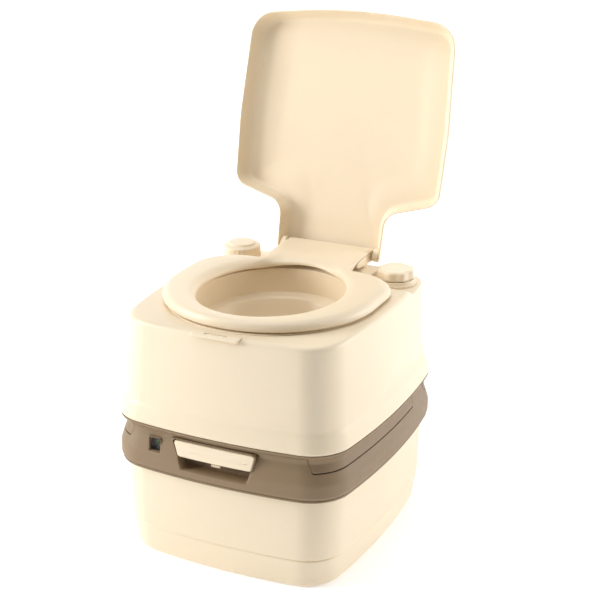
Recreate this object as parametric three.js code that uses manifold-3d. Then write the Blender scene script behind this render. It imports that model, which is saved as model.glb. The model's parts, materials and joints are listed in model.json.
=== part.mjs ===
// A portable cassette toilet: a flush-water section with bowl, seat and lid, which
// lifts off a waste section with a slide valve, a level window and a pour-out spout.
// Millimetres, +Z up, front towards -Y, origin at the middle of the flat tank bottom.
import * as THREE from "three";
import { mergeVertices } from "three/addons/utils/BufferGeometryUtils.js";
import Module from "manifold-3d";

const wasm = await Module();
wasm.setup();

// ---------------------------------------------------------------- driving dimensions
const overallWidth = 383;
const overallDepth = 427;
const frontBow = 18.8; // how far the front and rear sides bulge
const sideBow = 19.6; // how far the left and right sides bulge
const planCorner = 0.1637 * overallWidth; // corner radius of the plan outline

const bandBottom = 145; // lower edge of the taupe band
const splitHeight = 184; // where the two sections part, at the sides and the rear
const frontSplitHeight = 207; // and at the front, above the handle
const bandTop = 212.7; // upper edge of the band
const casingBottom = 213; // lower lip of the flush tank casing
const deckHeight = 367.2; // deck surface at the middle of its length
const deckTilt = THREE.MathUtils.degToRad(1.5); // the deck rises to the rear

const shellWall = 3;
const weldGap = 0.3; // gap kept between pieces that touch
const runningGap = 0.1; // radial gap between a pin and its hole
const tankInset = 10; // how far the tank wall stands inside the band

const topPlateTop = 180; // the plate that closes the waste tank
const floorTop = 216.6; // the plate that closes the flush tank

const valvePlace = { x: 0, y: 5 };
const portRadius = 50;
const bladeTravel = 110;
const bladeWidth = 120;
const bladeThickness = 4;
const bladeHeight = 168; // underside of the blade
const bladeMargin = 8; // how far the blade covers past the port
const slideGap = 0.3;

const handleTop = 200;
const handleBottom = 175.5;
const handleHalfTop = 65;
const handleHalfBottom = 55;
const handleGap = 1.2;
const fingerRoom = 14; // height of the finger gap below the handle
const pocketDepth = 25;

const windowPlace = { x: -97.5, z: 182.5 };
const windowWidth = 21;
const windowHeight = 27;

const spoutPlace = { x: 44.35 - 0.45 * overallWidth, y: 168 };
const spoutRadius = 16;
const spoutWall = 3;
const spoutReach = 116; // from the swivel axis to the cap's outer face
const spoutHeight = 183; // height of the spout's horizontal axis
const spoutCapRadius = 20;

const latchPlace = 80; // how far right of the middle the rear latch is
const latchWidth = 40;
const latchPivotHeight = 163;
const latchOpen = THREE.MathUtils.degToRad(25);

const seatMiddle = -29; // where along the depth the bowl opening is centred
const bowlHalfWidth = 114;
const bowlHalfDepth = 128;
const seatHoleHalfWidth = 106;
const seatHoleHalfDepth = 122;
const seatHalfWidth = 162;
const seatThickness = 14;
const seatRise = 4.5; // underside of the seat above the deck
const seatEdge = 6; // roundness of the seat's edges
const tabHalfWidth = 73;

const hingePlace = { y: 175.6, z: 10.2 }; // hinge axis, from the deck's middle
const hingePinRadius = 3.9;
const hingePinInner = 46;
const hingePinOuter = 84;
const lidOpen = THREE.MathUtils.degToRad(104.5);
const lidLength = 374; // hinge axis to the front edge
const lidHalfWidth = 176;
const lidDepth = 26; // depth of the tray inside
const lidPanelRise = 17.4; // inner face of the panel above the hinge axis, lid closed
const lidDraft = 16;
const lidNeckHalfWidth = 88;
const tongueHalfWidth = 16;

const wellDepth = 12; // hinge trough and sunken rear corners, below the deck
const wellFront = 150; // front of the trough
const cornerWellFront = 103;
const wellCurve = 26;
const fillPlace = { x: 16.2 - 0.4 * overallWidth, y: 139 };
const pumpPlace = { x: 0.3342 * overallWidth, y: 137 };
const wellHalf = pumpPlace.x - 33; // half width of the plateau between the corners
const neckRadius = 20;
const neckWall = 3;
const fillCapRadius = 30;
const fillCapHeight = 30; // top of the cap above the sunken corner
const knobRadius = 29.5;
const knobLobes = 8;
const pumpDepth = 136; // barrel's reach below the corner
const pistonTop = 92; // below the corner
const rodRadius = 4;

const roundSides = 24;
const pinSides = 24;

// ---------------------------------------------------------------- materials
function plastic(color, roughness = 0.42) {
  return new THREE.MeshStandardMaterial({ color, roughness, metalness: 0 });
}
const cream = plastic(0xf3dfc0);
const creamDark = plastic(0xe9d2ae);
const taupe = plastic(0x9b846c, 0.5);
const black = plastic(0x1d1c1b, 0.8);
const green = plastic(0x3f9a4c, 0.4);
const clear = new THREE.MeshStandardMaterial({
  color: 0xd8e4e0,
  roughness: 0.08,
  metalness: 0,
  transparent: true,
  opacity: 0.4,
});
const steel = new THREE.MeshStandardMaterial({ color: 0xb9bcc0, roughness: 0.3, metalness: 1 });

// ---------------------------------------------------------------- solids
// A closed geometry as a manifold-3d solid, with its shared vertices merged.
function solidOf(geometry) {
  const plain = geometry.index ? geometry.toNonIndexed() : geometry.clone();
  plain.deleteAttribute("normal");
  plain.deleteAttribute("uv");
  const merged = mergeVertices(plain, 1e-4);
  const corners = merged.index.array;
  const kept = [];
  for (let i = 0; i < corners.length; i += 3) {
    const triangle = [corners[i], corners[i + 1], corners[i + 2]];
    if (new Set(triangle).size === 3) {
      kept.push(...triangle);
    }
  }
  const vertProperties = merged.attributes.position.array;
  const triVerts = new Uint32Array(kept);
  return new wasm.Manifold(new wasm.Mesh({ numProp: 3, vertProperties, triVerts }));
}

function geometryOf(solid) {
  const made = solid.getMesh();
  const geometry = new THREE.BufferGeometry();
  geometry.setAttribute("position", new THREE.BufferAttribute(made.vertProperties, 3));
  geometry.setIndex(new THREE.BufferAttribute(made.triVerts, 1));
  const flat = geometry.toNonIndexed();
  flat.computeVertexNormals();
  return flat;
}

function addPiece(parent, name, solid, material) {
  const mesh = new THREE.Mesh(geometryOf(solid), material);
  mesh.name = name;
  parent.add(mesh);
  return mesh;
}

// A box between two corners.
function block([x0, y0, z0], [x1, y1, z1], matrix = null) {
  const geometry = new THREE.BoxGeometry(x1 - x0, y1 - y0, z1 - z0);
  geometry.translate((x0 + x1) / 2, (y0 + y1) / 2, (z0 + z1) / 2);
  if (matrix) {
    geometry.applyMatrix4(matrix);
  }
  return solidOf(geometry);
}

// An upright cylinder at (x, y) from height z0 to z1.
function post(radius, { x = 0, y = 0 }, z0, z1, matrix = null, sides = roundSides) {
  const geometry = new THREE.CylinderGeometry(radius, radius, z1 - z0, sides);
  geometry.rotateX(Math.PI / 2);
  geometry.translate(x, y, (z0 + z1) / 2);
  if (matrix) {
    geometry.applyMatrix4(matrix);
  }
  return solidOf(geometry);
}

// A cylinder along X from x0 to x1.
function shaft(radius, x0, x1, y, z, sides = pinSides) {
  const geometry = new THREE.CylinderGeometry(radius, radius, x1 - x0, sides);
  geometry.rotateZ(-Math.PI / 2);
  geometry.translate((x0 + x1) / 2, y, z);
  return solidOf(geometry);
}

// A body turned about the vertical axis, from [radius, height] pairs that close on
// the axis or on themselves, anticlockwise with the radius to the right.
function turned(profile, sides = roundSides) {
  const points = profile.map(([radius, height]) => new THREE.Vector2(radius, height));
  const geometry = new THREE.LatheGeometry(points, sides);
  geometry.rotateX(Math.PI / 2);
  return solidOf(geometry);
}

function ringSolid(outer, inner, z0, z1, sides = roundSides) {
  return turned([[inner, z0], [outer, z0], [outer, z1], [inner, z1], [inner, z0]], sides);
}

function prism(shape, z0, z1, segments = 6, matrix = null) {
  const geometry = new THREE.ExtrudeGeometry(shape, {
    depth: z1 - z0,
    bevelEnabled: false,
    curveSegments: segments,
  });
  geometry.translate(0, 0, z0);
  if (matrix) {
    geometry.applyMatrix4(matrix);
  }
  return solidOf(geometry);
}

// A side view in (y, z) extruded along X from x0 to x1.
function sidePrism(points, x0, x1) {
  const shape = new THREE.Shape(points.map(([y, z]) => new THREE.Vector2(y, z)));
  const geometry = new THREE.ExtrudeGeometry(shape, { depth: x1 - x0, bevelEnabled: false });
  const axes = new THREE.Matrix4().makeBasis(
    new THREE.Vector3(0, 1, 0),
    new THREE.Vector3(0, 0, 1),
    new THREE.Vector3(1, 0, 0),
  );
  geometry.applyMatrix4(axes);
  geometry.translate(x0, 0, 0);
  return solidOf(geometry);
}

// A front view in (x, z) extruded along Y from y0 to y1.
function frontPrism(points, y0, y1) {
  const shape = new THREE.Shape(points.map(([x, z]) => new THREE.Vector2(x, z)));
  const geometry = new THREE.ExtrudeGeometry(shape, { depth: y1 - y0, bevelEnabled: false });
  geometry.rotateX(Math.PI / 2);
  geometry.translate(0, y1, 0);
  return solidOf(geometry);
}

function joined(...solids) {
  return solids.reduce((whole, next) => whole.add(next));
}

function ellipse(halfWidth, halfDepth, middle = 0) {
  return new THREE.Shape().absellipse(0, middle, halfWidth, halfDepth, 0, 2 * Math.PI);
}

// ---------------------------------------------------------------- plan outline
// A rectangle whose four sides are shallow arcs, joined by corner arcs tangent to both.
function bowedOutline() {
  const a = overallWidth / 2;
  const b = overallDepth / 2;
  const frontRadius = (a * a + frontBow * frontBow) / (2 * frontBow);
  const sideRadius = (b * b + sideBow * sideBow) / (2 * sideBow);
  const rearCentre = new THREE.Vector2(0, b - frontRadius);
  const rightCentre = new THREE.Vector2(a - sideRadius, 0);
  const between = rightCentre.clone().sub(rearCentre);
  const span = between.length();
  const rearReach = frontRadius - planCorner;
  const sideReach = sideRadius - planCorner;
  const along = (rearReach ** 2 - sideReach ** 2 + span ** 2) / (2 * span);
  const aside = Math.sqrt(rearReach ** 2 - along ** 2);
  const unit = between.clone().normalize();
  const centres = [1, -1].map(
    (side) =>
      new THREE.Vector2(
        rearCentre.x + unit.x * along - unit.y * aside * side,
        rearCentre.y + unit.y * along + unit.x * aside * side,
      ),
  );
  const corner = centres[0].x + centres[0].y > centres[1].x + centres[1].y ? centres[0] : centres[1];
  const sideAngle = corner.clone().sub(rightCentre).angle();
  const rearAngle = corner.clone().sub(rearCentre).angle();
  const shape = new THREE.Shape();
  for (let quarter = 0; quarter < 2; quarter += 1) {
    const turn = quarter * Math.PI;
    const sign = quarter === 0 ? 1 : -1;
    shape.absarc(sign * rightCentre.x, 0, sideRadius, turn - sideAngle, turn + sideAngle);
    shape.absarc(sign * corner.x, sign * corner.y, planCorner, turn + sideAngle, turn + rearAngle);
    shape.absarc(0, sign * rearCentre.y, frontRadius, turn + rearAngle, turn + Math.PI - rearAngle);
    shape.absarc(
      -sign * corner.x,
      sign * corner.y,
      planCorner,
      turn + Math.PI - rearAngle,
      turn + Math.PI - sideAngle,
    );
  }
  return shape;
}
const planOutline = bowedOutline();
const outlineSegments = 2;
const depthShare = 0.9; // an inset takes this share along the depth

// A body whose plan is the outline, drawn in by an inset at each height. Each section is
// [height, inset] or [height, inset, true] where the section lies in the tilted deck.
function loft(sections, extraInset = 0) {
  const steps = sections.length - 1;
  const geometry = new THREE.ExtrudeGeometry(planOutline, {
    depth: steps,
    steps,
    bevelEnabled: false,
    curveSegments: outlineSegments,
  });
  const points = geometry.attributes.position;
  for (let i = 0; i < points.count; i += 1) {
    const [height, ownInset, tilted] = sections[Math.round(points.getZ(i))];
    const inset = ownInset + extraInset;
    const x = points.getX(i) * (1 - inset / (overallWidth / 2));
    const y = points.getY(i) * (1 - (depthShare * inset) / (overallDepth / 2));
    const rise = tilted ? Math.tan(deckTilt) * y : 0;
    points.setXYZ(i, x, y, height + rise);
  }
  return solidOf(geometry);
}

const rearY = overallDepth / 2;
const frontY = -rearY;
const far = 400; // reach of a cutting body past the object

// ---------------------------------------------------------------- frames
const toilet = new THREE.Group();
const wasteSection = new THREE.Group();
const flushSection = new THREE.Group();
toilet.add(wasteSection, flushSection);

const deck = new THREE.Group(); // origin on the deck surface, tilted with it
deck.position.set(0, 0, deckHeight);
deck.rotation.x = deckTilt;
deck.updateMatrix();
flushSection.add(deck);

// ---------------------------------------------------------------- the band
const bandSections = [
  [bandBottom, 2.5],
  [149, 0.3],
  [167, 0.3],
  [splitHeight, 5.4],
  [197, 8.5],
  [207, 4],
  [bandTop, 0],
];
// The same sections drawn in by a wall, and run on past both ends for a through cut.
function hollow(sections, wall) {
  const inner = sections.map(([height, inset, tilted]) => [height, inset + wall, tilted]);
  inner[0][0] -= 1;
  inner.at(-1)[0] += 1;
  return loft(inner);
}
const bandRing = loft(bandSections).subtract(hollow(bandSections, shellWall));

const keyHalfTop = 142;
const keyHalfBottom = 149;
// The raised front stretch of the lower collar, grown by a gap for the upper collar's cut.
function frontKey(gap) {
  const points = [
    [-keyHalfBottom - gap, splitHeight - 10],
    [keyHalfBottom + gap, splitHeight - 10],
    [keyHalfBottom + gap, splitHeight],
    [keyHalfTop + gap, frontSplitHeight + gap],
    [-keyHalfTop - gap, frontSplitHeight + gap],
    [-keyHalfBottom - gap, splitHeight],
  ];
  return frontPrism(points, -far, -100);
}
const splitGap = 0.8;
function belowSplit(gap) {
  const slab = block([-far, -far, bandBottom - 20], [far, far, splitHeight + gap]);
  return slab.add(frontKey(gap));
}

// ---------------------------------------------------------------- waste section
const topPlateBottom = topPlateTop - shellWall;
const tankSections = [
  [0, 20],
  [5, 15.3],
  [45, 13.6],
  [50, 12.8],
  [120, 11],
  [topPlateBottom - weldGap, tankInset],
];
const tankInner = [
  [shellWall, 22],
  [shellWall + 4, 18.3],
  [45, 16.6],
  [50, 15.8],
  [120, 14],
  [topPlateTop, tankInset + shellWall],
];

const pocketHalf = handleHalfTop + handleGap;
const pocketTop = handleTop + handleGap;
const pocketBottom = handleBottom - fingerRoom;
const pocketBack = frontY + pocketDepth;
const pocketWall = 2.5;
const pocketBlock = block(
  [-pocketHalf - pocketWall, frontY + 5, pocketBottom - pocketWall],
  [pocketHalf + pocketWall, pocketBack + pocketWall, pocketTop + pocketWall],
);
const pocketRoom = block([-pocketHalf, -far, pocketBottom], [pocketHalf, pocketBack, pocketTop]);

const sightFront = frontY + 10.5;
const sightBack = frontY + 44;
const windowLeft = windowPlace.x - windowWidth / 2;
const windowRight = windowPlace.x + windowWidth / 2;
const windowBottom = windowPlace.z - windowHeight / 2;
const windowTop = windowPlace.z + windowHeight / 2;
const sightBlock = block(
  [windowLeft - pocketWall, sightFront, topPlateBottom],
  [windowRight + pocketWall, sightBack, windowTop + pocketWall],
);
const sightRoom = block(
  [windowLeft, sightFront + 6.5, windowBottom],
  [windowRight, sightBack - pocketWall, windowTop],
);
const windowHole = block(
  [windowLeft, -far, windowBottom],
  [windowRight, sightFront + 7, windowTop],
);

const spoutPocketFloor = 162;
const spoutPocketLeft = spoutPlace.x - spoutCapRadius - 9;
const spoutPocketRight = spoutPlace.x + spoutReach + 21;
const spoutPocketFront = spoutPlace.y - spoutCapRadius - 5;
const spoutBlock = block(
  [spoutPocketLeft - shellWall, spoutPocketFront - shellWall, spoutPocketFloor - shellWall],
  [spoutPocketRight + shellWall, far, topPlateTop],
).intersect(loft([[100, shellWall], [topPlateTop, shellWall]]));
const spoutRoom = block(
  [spoutPocketLeft, spoutPocketFront, spoutPocketFloor],
  [spoutPocketRight, far, spoutHeight + spoutCapRadius + 4],
);
const spoutPort = post(spoutRadius + 0.4, spoutPlace, 100, topPlateTop);

const latchLeft = latchPlace - latchWidth / 2;
const latchRight = latchPlace + latchWidth / 2;
const latchRoom = block(
  [latchLeft - 2, rearY - 9, latchPivotHeight - 9],
  [latchRight + 2, far, bandTop - 4],
);
const latchEarHalf = 3;
const latchPivotY = rearY - 4.5;

const wastePieces = {};
const tankCuts = joined(
  block(
    [-pocketHalf - pocketWall - weldGap, -far, pocketBottom - pocketWall - weldGap],
    [pocketHalf + pocketWall + weldGap, pocketBack + pocketWall + weldGap, far],
  ),
  block([windowLeft - weldGap, -far, windowBottom - weldGap], [windowRight + weldGap, sightFront + 7, far]),
  block(
    [
      spoutPocketLeft - shellWall - weldGap,
      spoutPocketFront - shellWall - weldGap,
      spoutPocketFloor - shellWall - weldGap,
    ],
    [spoutPocketRight + shellWall + weldGap, far, far],
  ),
);
wastePieces.waste_tank = loft(tankSections).subtract(loft(tankInner)).subtract(tankCuts);

const ventPlace = { x: 70, y: 120 };
const ventHole = 6;
const lugHeight = 18;
const floatPivot = { y: sightBack - 6.5, z: 164 };
const floatPinRadius = 1.5;
const floatLugs = [windowLeft - pocketWall, windowRight].map((x) =>
  block(
    [x, floatPivot.y - 4, topPlateBottom - lugHeight],
    [x + pocketWall, floatPivot.y + 4, topPlateBottom + 1],
  ),
);
const floatPinHole = shaft(
  floatPinRadius + runningGap,
  windowPlace.x - 20,
  windowPlace.x + 20,
  floatPivot.y,
  floatPivot.z,
);
const latchEars = [latchLeft - 1.4 - latchEarHalf, latchRight + 1.4].map((x) =>
  block(
    [x, rearY - 9, latchPivotHeight - 5],
    [x + latchEarHalf, rearY - 1, latchPivotHeight + 5],
  ),
);
const rodHalfWidth = 7;
const rodThickness = 3.4;
const rodBottom = bladeHeight + (bladeThickness - rodThickness) / 2;
const rodSlot = block(
  [-rodHalfWidth - 0.6, pocketBack - 1, rodBottom - 0.6],
  [rodHalfWidth + 0.6, pocketBack + pocketWall + 1, rodBottom + rodThickness + 0.6],
);
wastePieces.tank_top = joined(
  bandRing.intersect(belowSplit(0)).subtract(latchRoom),
  loft([[topPlateBottom, 4.2], [topPlateTop, 5.2]]).subtract(latchRoom),
  pocketBlock,
  sightBlock,
  spoutBlock,
  ...floatLugs,
  ...latchEars,
)
  .subtract(pocketRoom)
  .subtract(sightRoom)
  .subtract(windowHole)
  .subtract(spoutRoom)
  .subtract(spoutPort)
  .subtract(floatPinHole)
  .subtract(shaft(2 + runningGap, latchLeft - 10, latchRight + 10, latchPivotY, latchPivotHeight))
  .subtract(post(portRadius, valvePlace, 170, 190))
  .subtract(post(ventHole, ventPlace, 170, 190))
  .subtract(rodSlot);

// Slide valve: housing under the plate, blade, stem, gland and pull handle.
const bladeHalf = bladeWidth / 2;
const bladeFront = valvePlace.y - portRadius - bladeMargin;
const bladeRear = valvePlace.y + portRadius + bladeMargin;
const housingWall = 6;
const housingTop = topPlateBottom - weldGap;
const housingBottom = bladeHeight - 4;
const housingFront = bladeFront - bladeTravel - 3;
const slotRear = bladeRear + slideGap;
wastePieces.valve_housing = block(
  [-bladeHalf - housingWall, housingFront, housingBottom],
  [bladeHalf + housingWall, slotRear + housingWall, housingTop],
)
  .subtract(
    block(
      [-bladeHalf - slideGap, housingFront - 5, bladeHeight - slideGap],
      [bladeHalf + slideGap, slotRear, bladeHeight + bladeThickness + slideGap],
    ),
  )
  .subtract(post(portRadius, valvePlace, 150, 190));
const sealRise = 3.9;
wastePieces.valve_lip_seal = ringSolid(
  portRadius + 6,
  portRadius - 1,
  topPlateTop + weldGap,
  topPlateTop + sealRise,
);

const valve = new THREE.Group(); // moves with the handle
wasteSection.add(valve);
const blade = block(
  [-bladeHalf, bladeFront, bladeHeight],
  [bladeHalf, bladeRear, bladeHeight + bladeThickness],
);
addPiece(valve, "valve_blade", blade, creamDark);
const handleBack = frontY + 9;
const rod = block(
  [-rodHalfWidth, handleBack + weldGap, rodBottom],
  [rodHalfWidth, bladeFront - weldGap, rodBottom + rodThickness],
);
addPiece(valve, "valve_rod", rod, creamDark);
const handleFace = loft([[160, 0.8], [210, 0.8]]).subtract(loft([[155, 7], [215, 7]]));
const handleStem = block(
  [-rodHalfWidth - 6, frontY + 5, handleBottom - 11],
  [rodHalfWidth + 6, handleBack, handleBottom + 8],
);
const handleShape = frontPrism(
  [
    [-handleHalfBottom, handleBottom],
    [handleHalfBottom, handleBottom],
    [handleHalfTop, handleTop],
    [-handleHalfTop, handleTop],
  ],
  -far,
  -150,
);
addPiece(valve, "valve_handle", handleFace.intersect(handleShape).add(handleStem), cream);
const glandBack = pocketBack + pocketWall + 4;
wastePieces.valve_rod_seal = block(
  [-rodHalfWidth - 5, pocketBack + pocketWall + weldGap, rodBottom - 4],
  [rodHalfWidth + 5, glandBack, rodBottom + rodThickness + 4],
).subtract(
  block(
    [-rodHalfWidth - slideGap, pocketBack, rodBottom - slideGap],
    [rodHalfWidth + slideGap, glandBack + 1, rodBottom + rodThickness + slideGap],
  ),
);

// Level indicator: window, float arm with its flag, and the pin that it turns on.
wastePieces.level_window = block(
  [windowLeft + weldGap, sightFront + 4, windowBottom + weldGap],
  [windowRight - weldGap, sightFront + 6, windowTop - weldGap],
);
wastePieces.float_pin = shaft(
  floatPinRadius,
  windowLeft - pocketWall,
  windowRight + pocketWall,
  floatPivot.y,
  floatPivot.z,
);
const flagFront = sightFront + 13;
const flagHalf = 6;
const flagBottom = 170;
const flagTop = 188;
const level = new THREE.Group();
level.position.set(windowPlace.x, floatPivot.y, floatPivot.z);
wasteSection.add(level);
const armFront = flagFront - floatPivot.y;
const flagFoot = flagBottom - floatPivot.z;
const floatReach = 78;
const floatDrop = THREE.MathUtils.degToRad(13); // the float hangs low while the tank is empty
const floatSide = new THREE.Matrix4().makeRotationX(-floatDrop);
const floatArm = joined(
  shaft(4, -6, 6, 0, 0),
  sidePrism([[armFront, flagFoot - 6], [armFront, flagFoot - weldGap], [0, 3.5], [0, -3]], -2.5, 2.5),
  block([-2.5, 0, -3], [2.5, floatReach - 38, 3], floatSide),
  block([-18, floatReach - 42, -13], [18, floatReach, 4], floatSide),
).subtract(shaft(floatPinRadius + runningGap, -20, 20, 0, 0));
addPiece(level, "level_float", floatArm, black);
const flag = block(
  [-flagHalf, armFront, flagFoot],
  [flagHalf, armFront + 2.5, flagTop - floatPivot.z],
);
addPiece(level, "level_flag", flag, green);

// Vent button with its return spring and seal.
const ventHeadBottom = topPlateTop + 6;
const vent = new THREE.Group();
vent.position.set(ventPlace.x, ventPlace.y, 0);
wasteSection.add(vent);
const ventStem = 5;
const ventDiscTop = topPlateBottom - 3;
const ventButton = turned([
  [0, ventDiscTop - 2],
  [9, ventDiscTop - 2],
  [9, ventDiscTop],
  [ventStem, ventDiscTop],
  [ventStem, ventHeadBottom],
  [9.5, ventHeadBottom],
  [9.5, ventHeadBottom + 3],
  [8, ventHeadBottom + 4.5],
  [0, ventHeadBottom + 4.5],
]);
addPiece(vent, "vent_button", ventButton, cream);
const ventSeal = ringSolid(9, ventStem + 0.1, ventDiscTop + 0.1, topPlateBottom - weldGap);
addPiece(vent, "vent_seal", ventSeal, black);

class SpringPath extends THREE.Curve {
  constructor(radius, bottom, top, turns) {
    super();
    Object.assign(this, { radius, bottom, top, turns });
  }
  getPoint(share, target = new THREE.Vector3()) {
    const angle = 2 * Math.PI * this.turns * share;
    const height = this.bottom + (this.top - this.bottom) * share;
    return target.set(this.radius * Math.cos(angle), this.radius * Math.sin(angle), height);
  }
}
const springWire = 0.5;
const springTurns = 3;
const ventSpring = new THREE.ExtrudeGeometry(
  new THREE.Shape().absarc(0, 0, springWire, 0, 2 * Math.PI),
  {
    steps: 12 * springTurns,
    curveSegments: 3,
    extrudePath: new SpringPath(
      7.4,
      topPlateTop + springWire + 0.2,
      ventHeadBottom - springWire - 0.2,
      springTurns,
    ),
  },
);
const springMesh = addPiece(wasteSection, "vent_spring", solidOf(ventSpring), steel);
springMesh.position.set(ventPlace.x, ventPlace.y, 0);

// Pour-out spout: an elbow that swivels in the tank top, with a bayonet cap.
const spout = new THREE.Group();
spout.position.set(spoutPlace.x, spoutPlace.y, 0);
wasteSection.add(spout);
function elbow(radius, bottom, reach) {
  const ball = new THREE.SphereGeometry(radius, pinSides, 12);
  ball.translate(0, 0, spoutHeight);
  return joined(
    post(radius, {}, bottom, spoutHeight, null, pinSides),
    solidOf(ball),
    shaft(radius, 0, reach, 0, spoutHeight),
  );
}
const spoutFlange = spoutPocketFloor - shellWall - weldGap;
const pipeEnd = spoutReach - 4;
const spoutSolid = elbow(spoutRadius, spoutFlange - 6, pipeEnd)
  .add(post(spoutRadius + 4, {}, spoutFlange - 6, spoutFlange))
  .subtract(elbow(spoutRadius - spoutWall, spoutFlange - 20, spoutReach + 20));
addPiece(spout, "pour_spout", spoutSolid, creamDark);
const spoutCap = shaft(spoutCapRadius, spoutReach - 22, spoutReach, 0, spoutHeight, roundSides)
  .subtract(shaft(spoutRadius + 0.4, spoutReach - 30, pipeEnd + weldGap, 0, spoutHeight))
  .add(shaft(spoutRadius - spoutWall - 0.6, pipeEnd - 8, spoutReach, 0, spoutHeight));
addPiece(spout, "spout_cap", spoutCap, creamDark);
const spoutSeal = ringSolid(spoutRadius + 4, spoutRadius + 0.3, 0, 2.4);
const spoutSealMesh = addPiece(wasteSection, "spout_seal", spoutSeal, black);
spoutSealMesh.position.set(spoutPlace.x, spoutPlace.y, spoutPocketFloor + weldGap);

// Rear latch: a lever on a steel pin. It stands released and closes by swinging in.
const latch = new THREE.Group();
latch.position.set(latchPlace, latchPivotY, latchPivotHeight);
latch.rotation.x = -latchOpen;
wasteSection.add(latch);
const latchHole = shaft(2 + runningGap, -latchWidth, latchWidth, 0, 0);
const noseHeight = 40;
const noseReach = 6.5;
const latchSolid = joined(
  shaft(3.6, -latchWidth / 2, latchWidth / 2, 0, 0),
  block([-latchWidth / 2, -1.2, 0], [latchWidth / 2, 2.2, noseHeight + 3.5]),
  block([-latchWidth / 2 + 3, -noseReach, noseHeight - 2], [latchWidth / 2 - 3, 0, noseHeight + 1]),
).subtract(latchHole);
addPiece(latch, "rear_latch", latchSolid, creamDark);
wastePieces.rear_latch_pin = shaft(
  2,
  latchLeft - 1.4 - latchEarHalf,
  latchRight + 1.4 + latchEarHalf,
  latchPivotY,
  latchPivotHeight,
);

const wasteMaterials = {
  waste_tank: cream,
  tank_top: taupe,
  valve_housing: creamDark,
  valve_lip_seal: black,
  valve_rod_seal: black,
  level_window: clear,
  float_pin: steel,
  rear_latch_pin: steel,
};
for (const [name, solid] of Object.entries(wastePieces)) {
  addPiece(wasteSection, name, solid, wasteMaterials[name]);
}

// ---------------------------------------------------------------- flush section
const casingSections = [
  [casingBottom, 0],
  [216, 0.5],
  [236, 4.6],
  [242, 8],
  [deckHeight - 14, 14.6, true],
  [deckHeight - 5, 16.4, true],
  [deckHeight - 1.2, 20, true],
  [deckHeight, 26, true],
];
const casingInner = [
  [casingBottom - 1, shellWall],
  [216, shellWall + 0.6],
  [236, shellWall + 4.6],
  [242, shellWall + 8],
  [deckHeight - 14, shellWall + 14.6, true],
  [deckHeight - 6, shellWall + 16.4, true],
  [deckHeight - shellWall, shellWall + 21, true],
];
const casingOuter = loft(casingSections);
const bowlOuterWidth = bowlHalfWidth + shellWall;
const bowlOuterDepth = (bowlOuterWidth * bowlHalfDepth) / bowlHalfWidth;
const bowlGap = 0.6;
// The hinge trough and the two sunken rear corners, as a plan grown by a wall.
function wellShape(wall) {
  const side = wellHalf - wall;
  const front = wellFront - wall;
  const cornerFront = cornerWellFront - wall;
  const shape = new THREE.Shape();
  shape.moveTo(far, far);
  shape.lineTo(-far, far);
  shape.lineTo(-far, cornerFront);
  shape.lineTo(-side - wellCurve, cornerFront);
  shape.quadraticCurveTo(-side, cornerFront, -side, cornerFront + wellCurve);
  shape.lineTo(-side, front);
  shape.lineTo(side, front);
  shape.lineTo(side, cornerFront + wellCurve);
  shape.quadraticCurveTo(side, cornerFront, side + wellCurve, cornerFront);
  shape.lineTo(far, cornerFront);
  return shape;
}
const wellBlock = prism(wellShape(shellWall), -wellDepth - shellWall, -1, 4, deck.matrix).intersect(
  casingOuter,
);
const well = prism(wellShape(0), -wellDepth, 40, 4, deck.matrix);
const casing = casingOuter
  .subtract(loft(casingInner))
  .add(wellBlock)
  .subtract(well)
  .subtract(
    prism(
      ellipse(bowlOuterWidth + bowlGap, bowlOuterDepth + bowlGap, seatMiddle),
      -20,
      20,
      16,
      deck.matrix,
    ),
  )
  .subtract(post(neckRadius + weldGap, fillPlace, -30, 20, deck.matrix))
  .subtract(post(neckRadius + weldGap, pumpPlace, -30, 20, deck.matrix));
addPiece(flushSection, "upper_casing", casing, cream);

const latchSlot = block(
  [latchLeft - 1, rearY - 40, latchPivotHeight + noseHeight - 4],
  [latchRight + 1, far, latchPivotHeight + noseHeight + 6],
);
const collarFlange = loft([[bandTop - shellWall, 1], [bandTop, 0.5]]).subtract(
  loft([[bandTop - 10, 16], [bandTop + 1, 16]]),
);
const upperCollar = bandRing
  .subtract(belowSplit(splitGap))
  .add(collarFlange)
  .subtract(spoutRoom)
  .subtract(latchSlot);
addPiece(flushSection, "upper_collar", upperCollar, taupe);

const outletRadius = portRadius - 4;
const outletWall = 3;
const floorThickness = 3;
const floorGap = 1;
const floorPlate = loft([
  [floorTop - floorThickness, shellWall + 1],
  [floorTop, shellWall + 1.2],
])
  .subtract(post(outletRadius + outletWall + floorGap, valvePlace, 200, 230));
addPiece(flushSection, "flush_tank_floor", floorPlate, creamDark);

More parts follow.
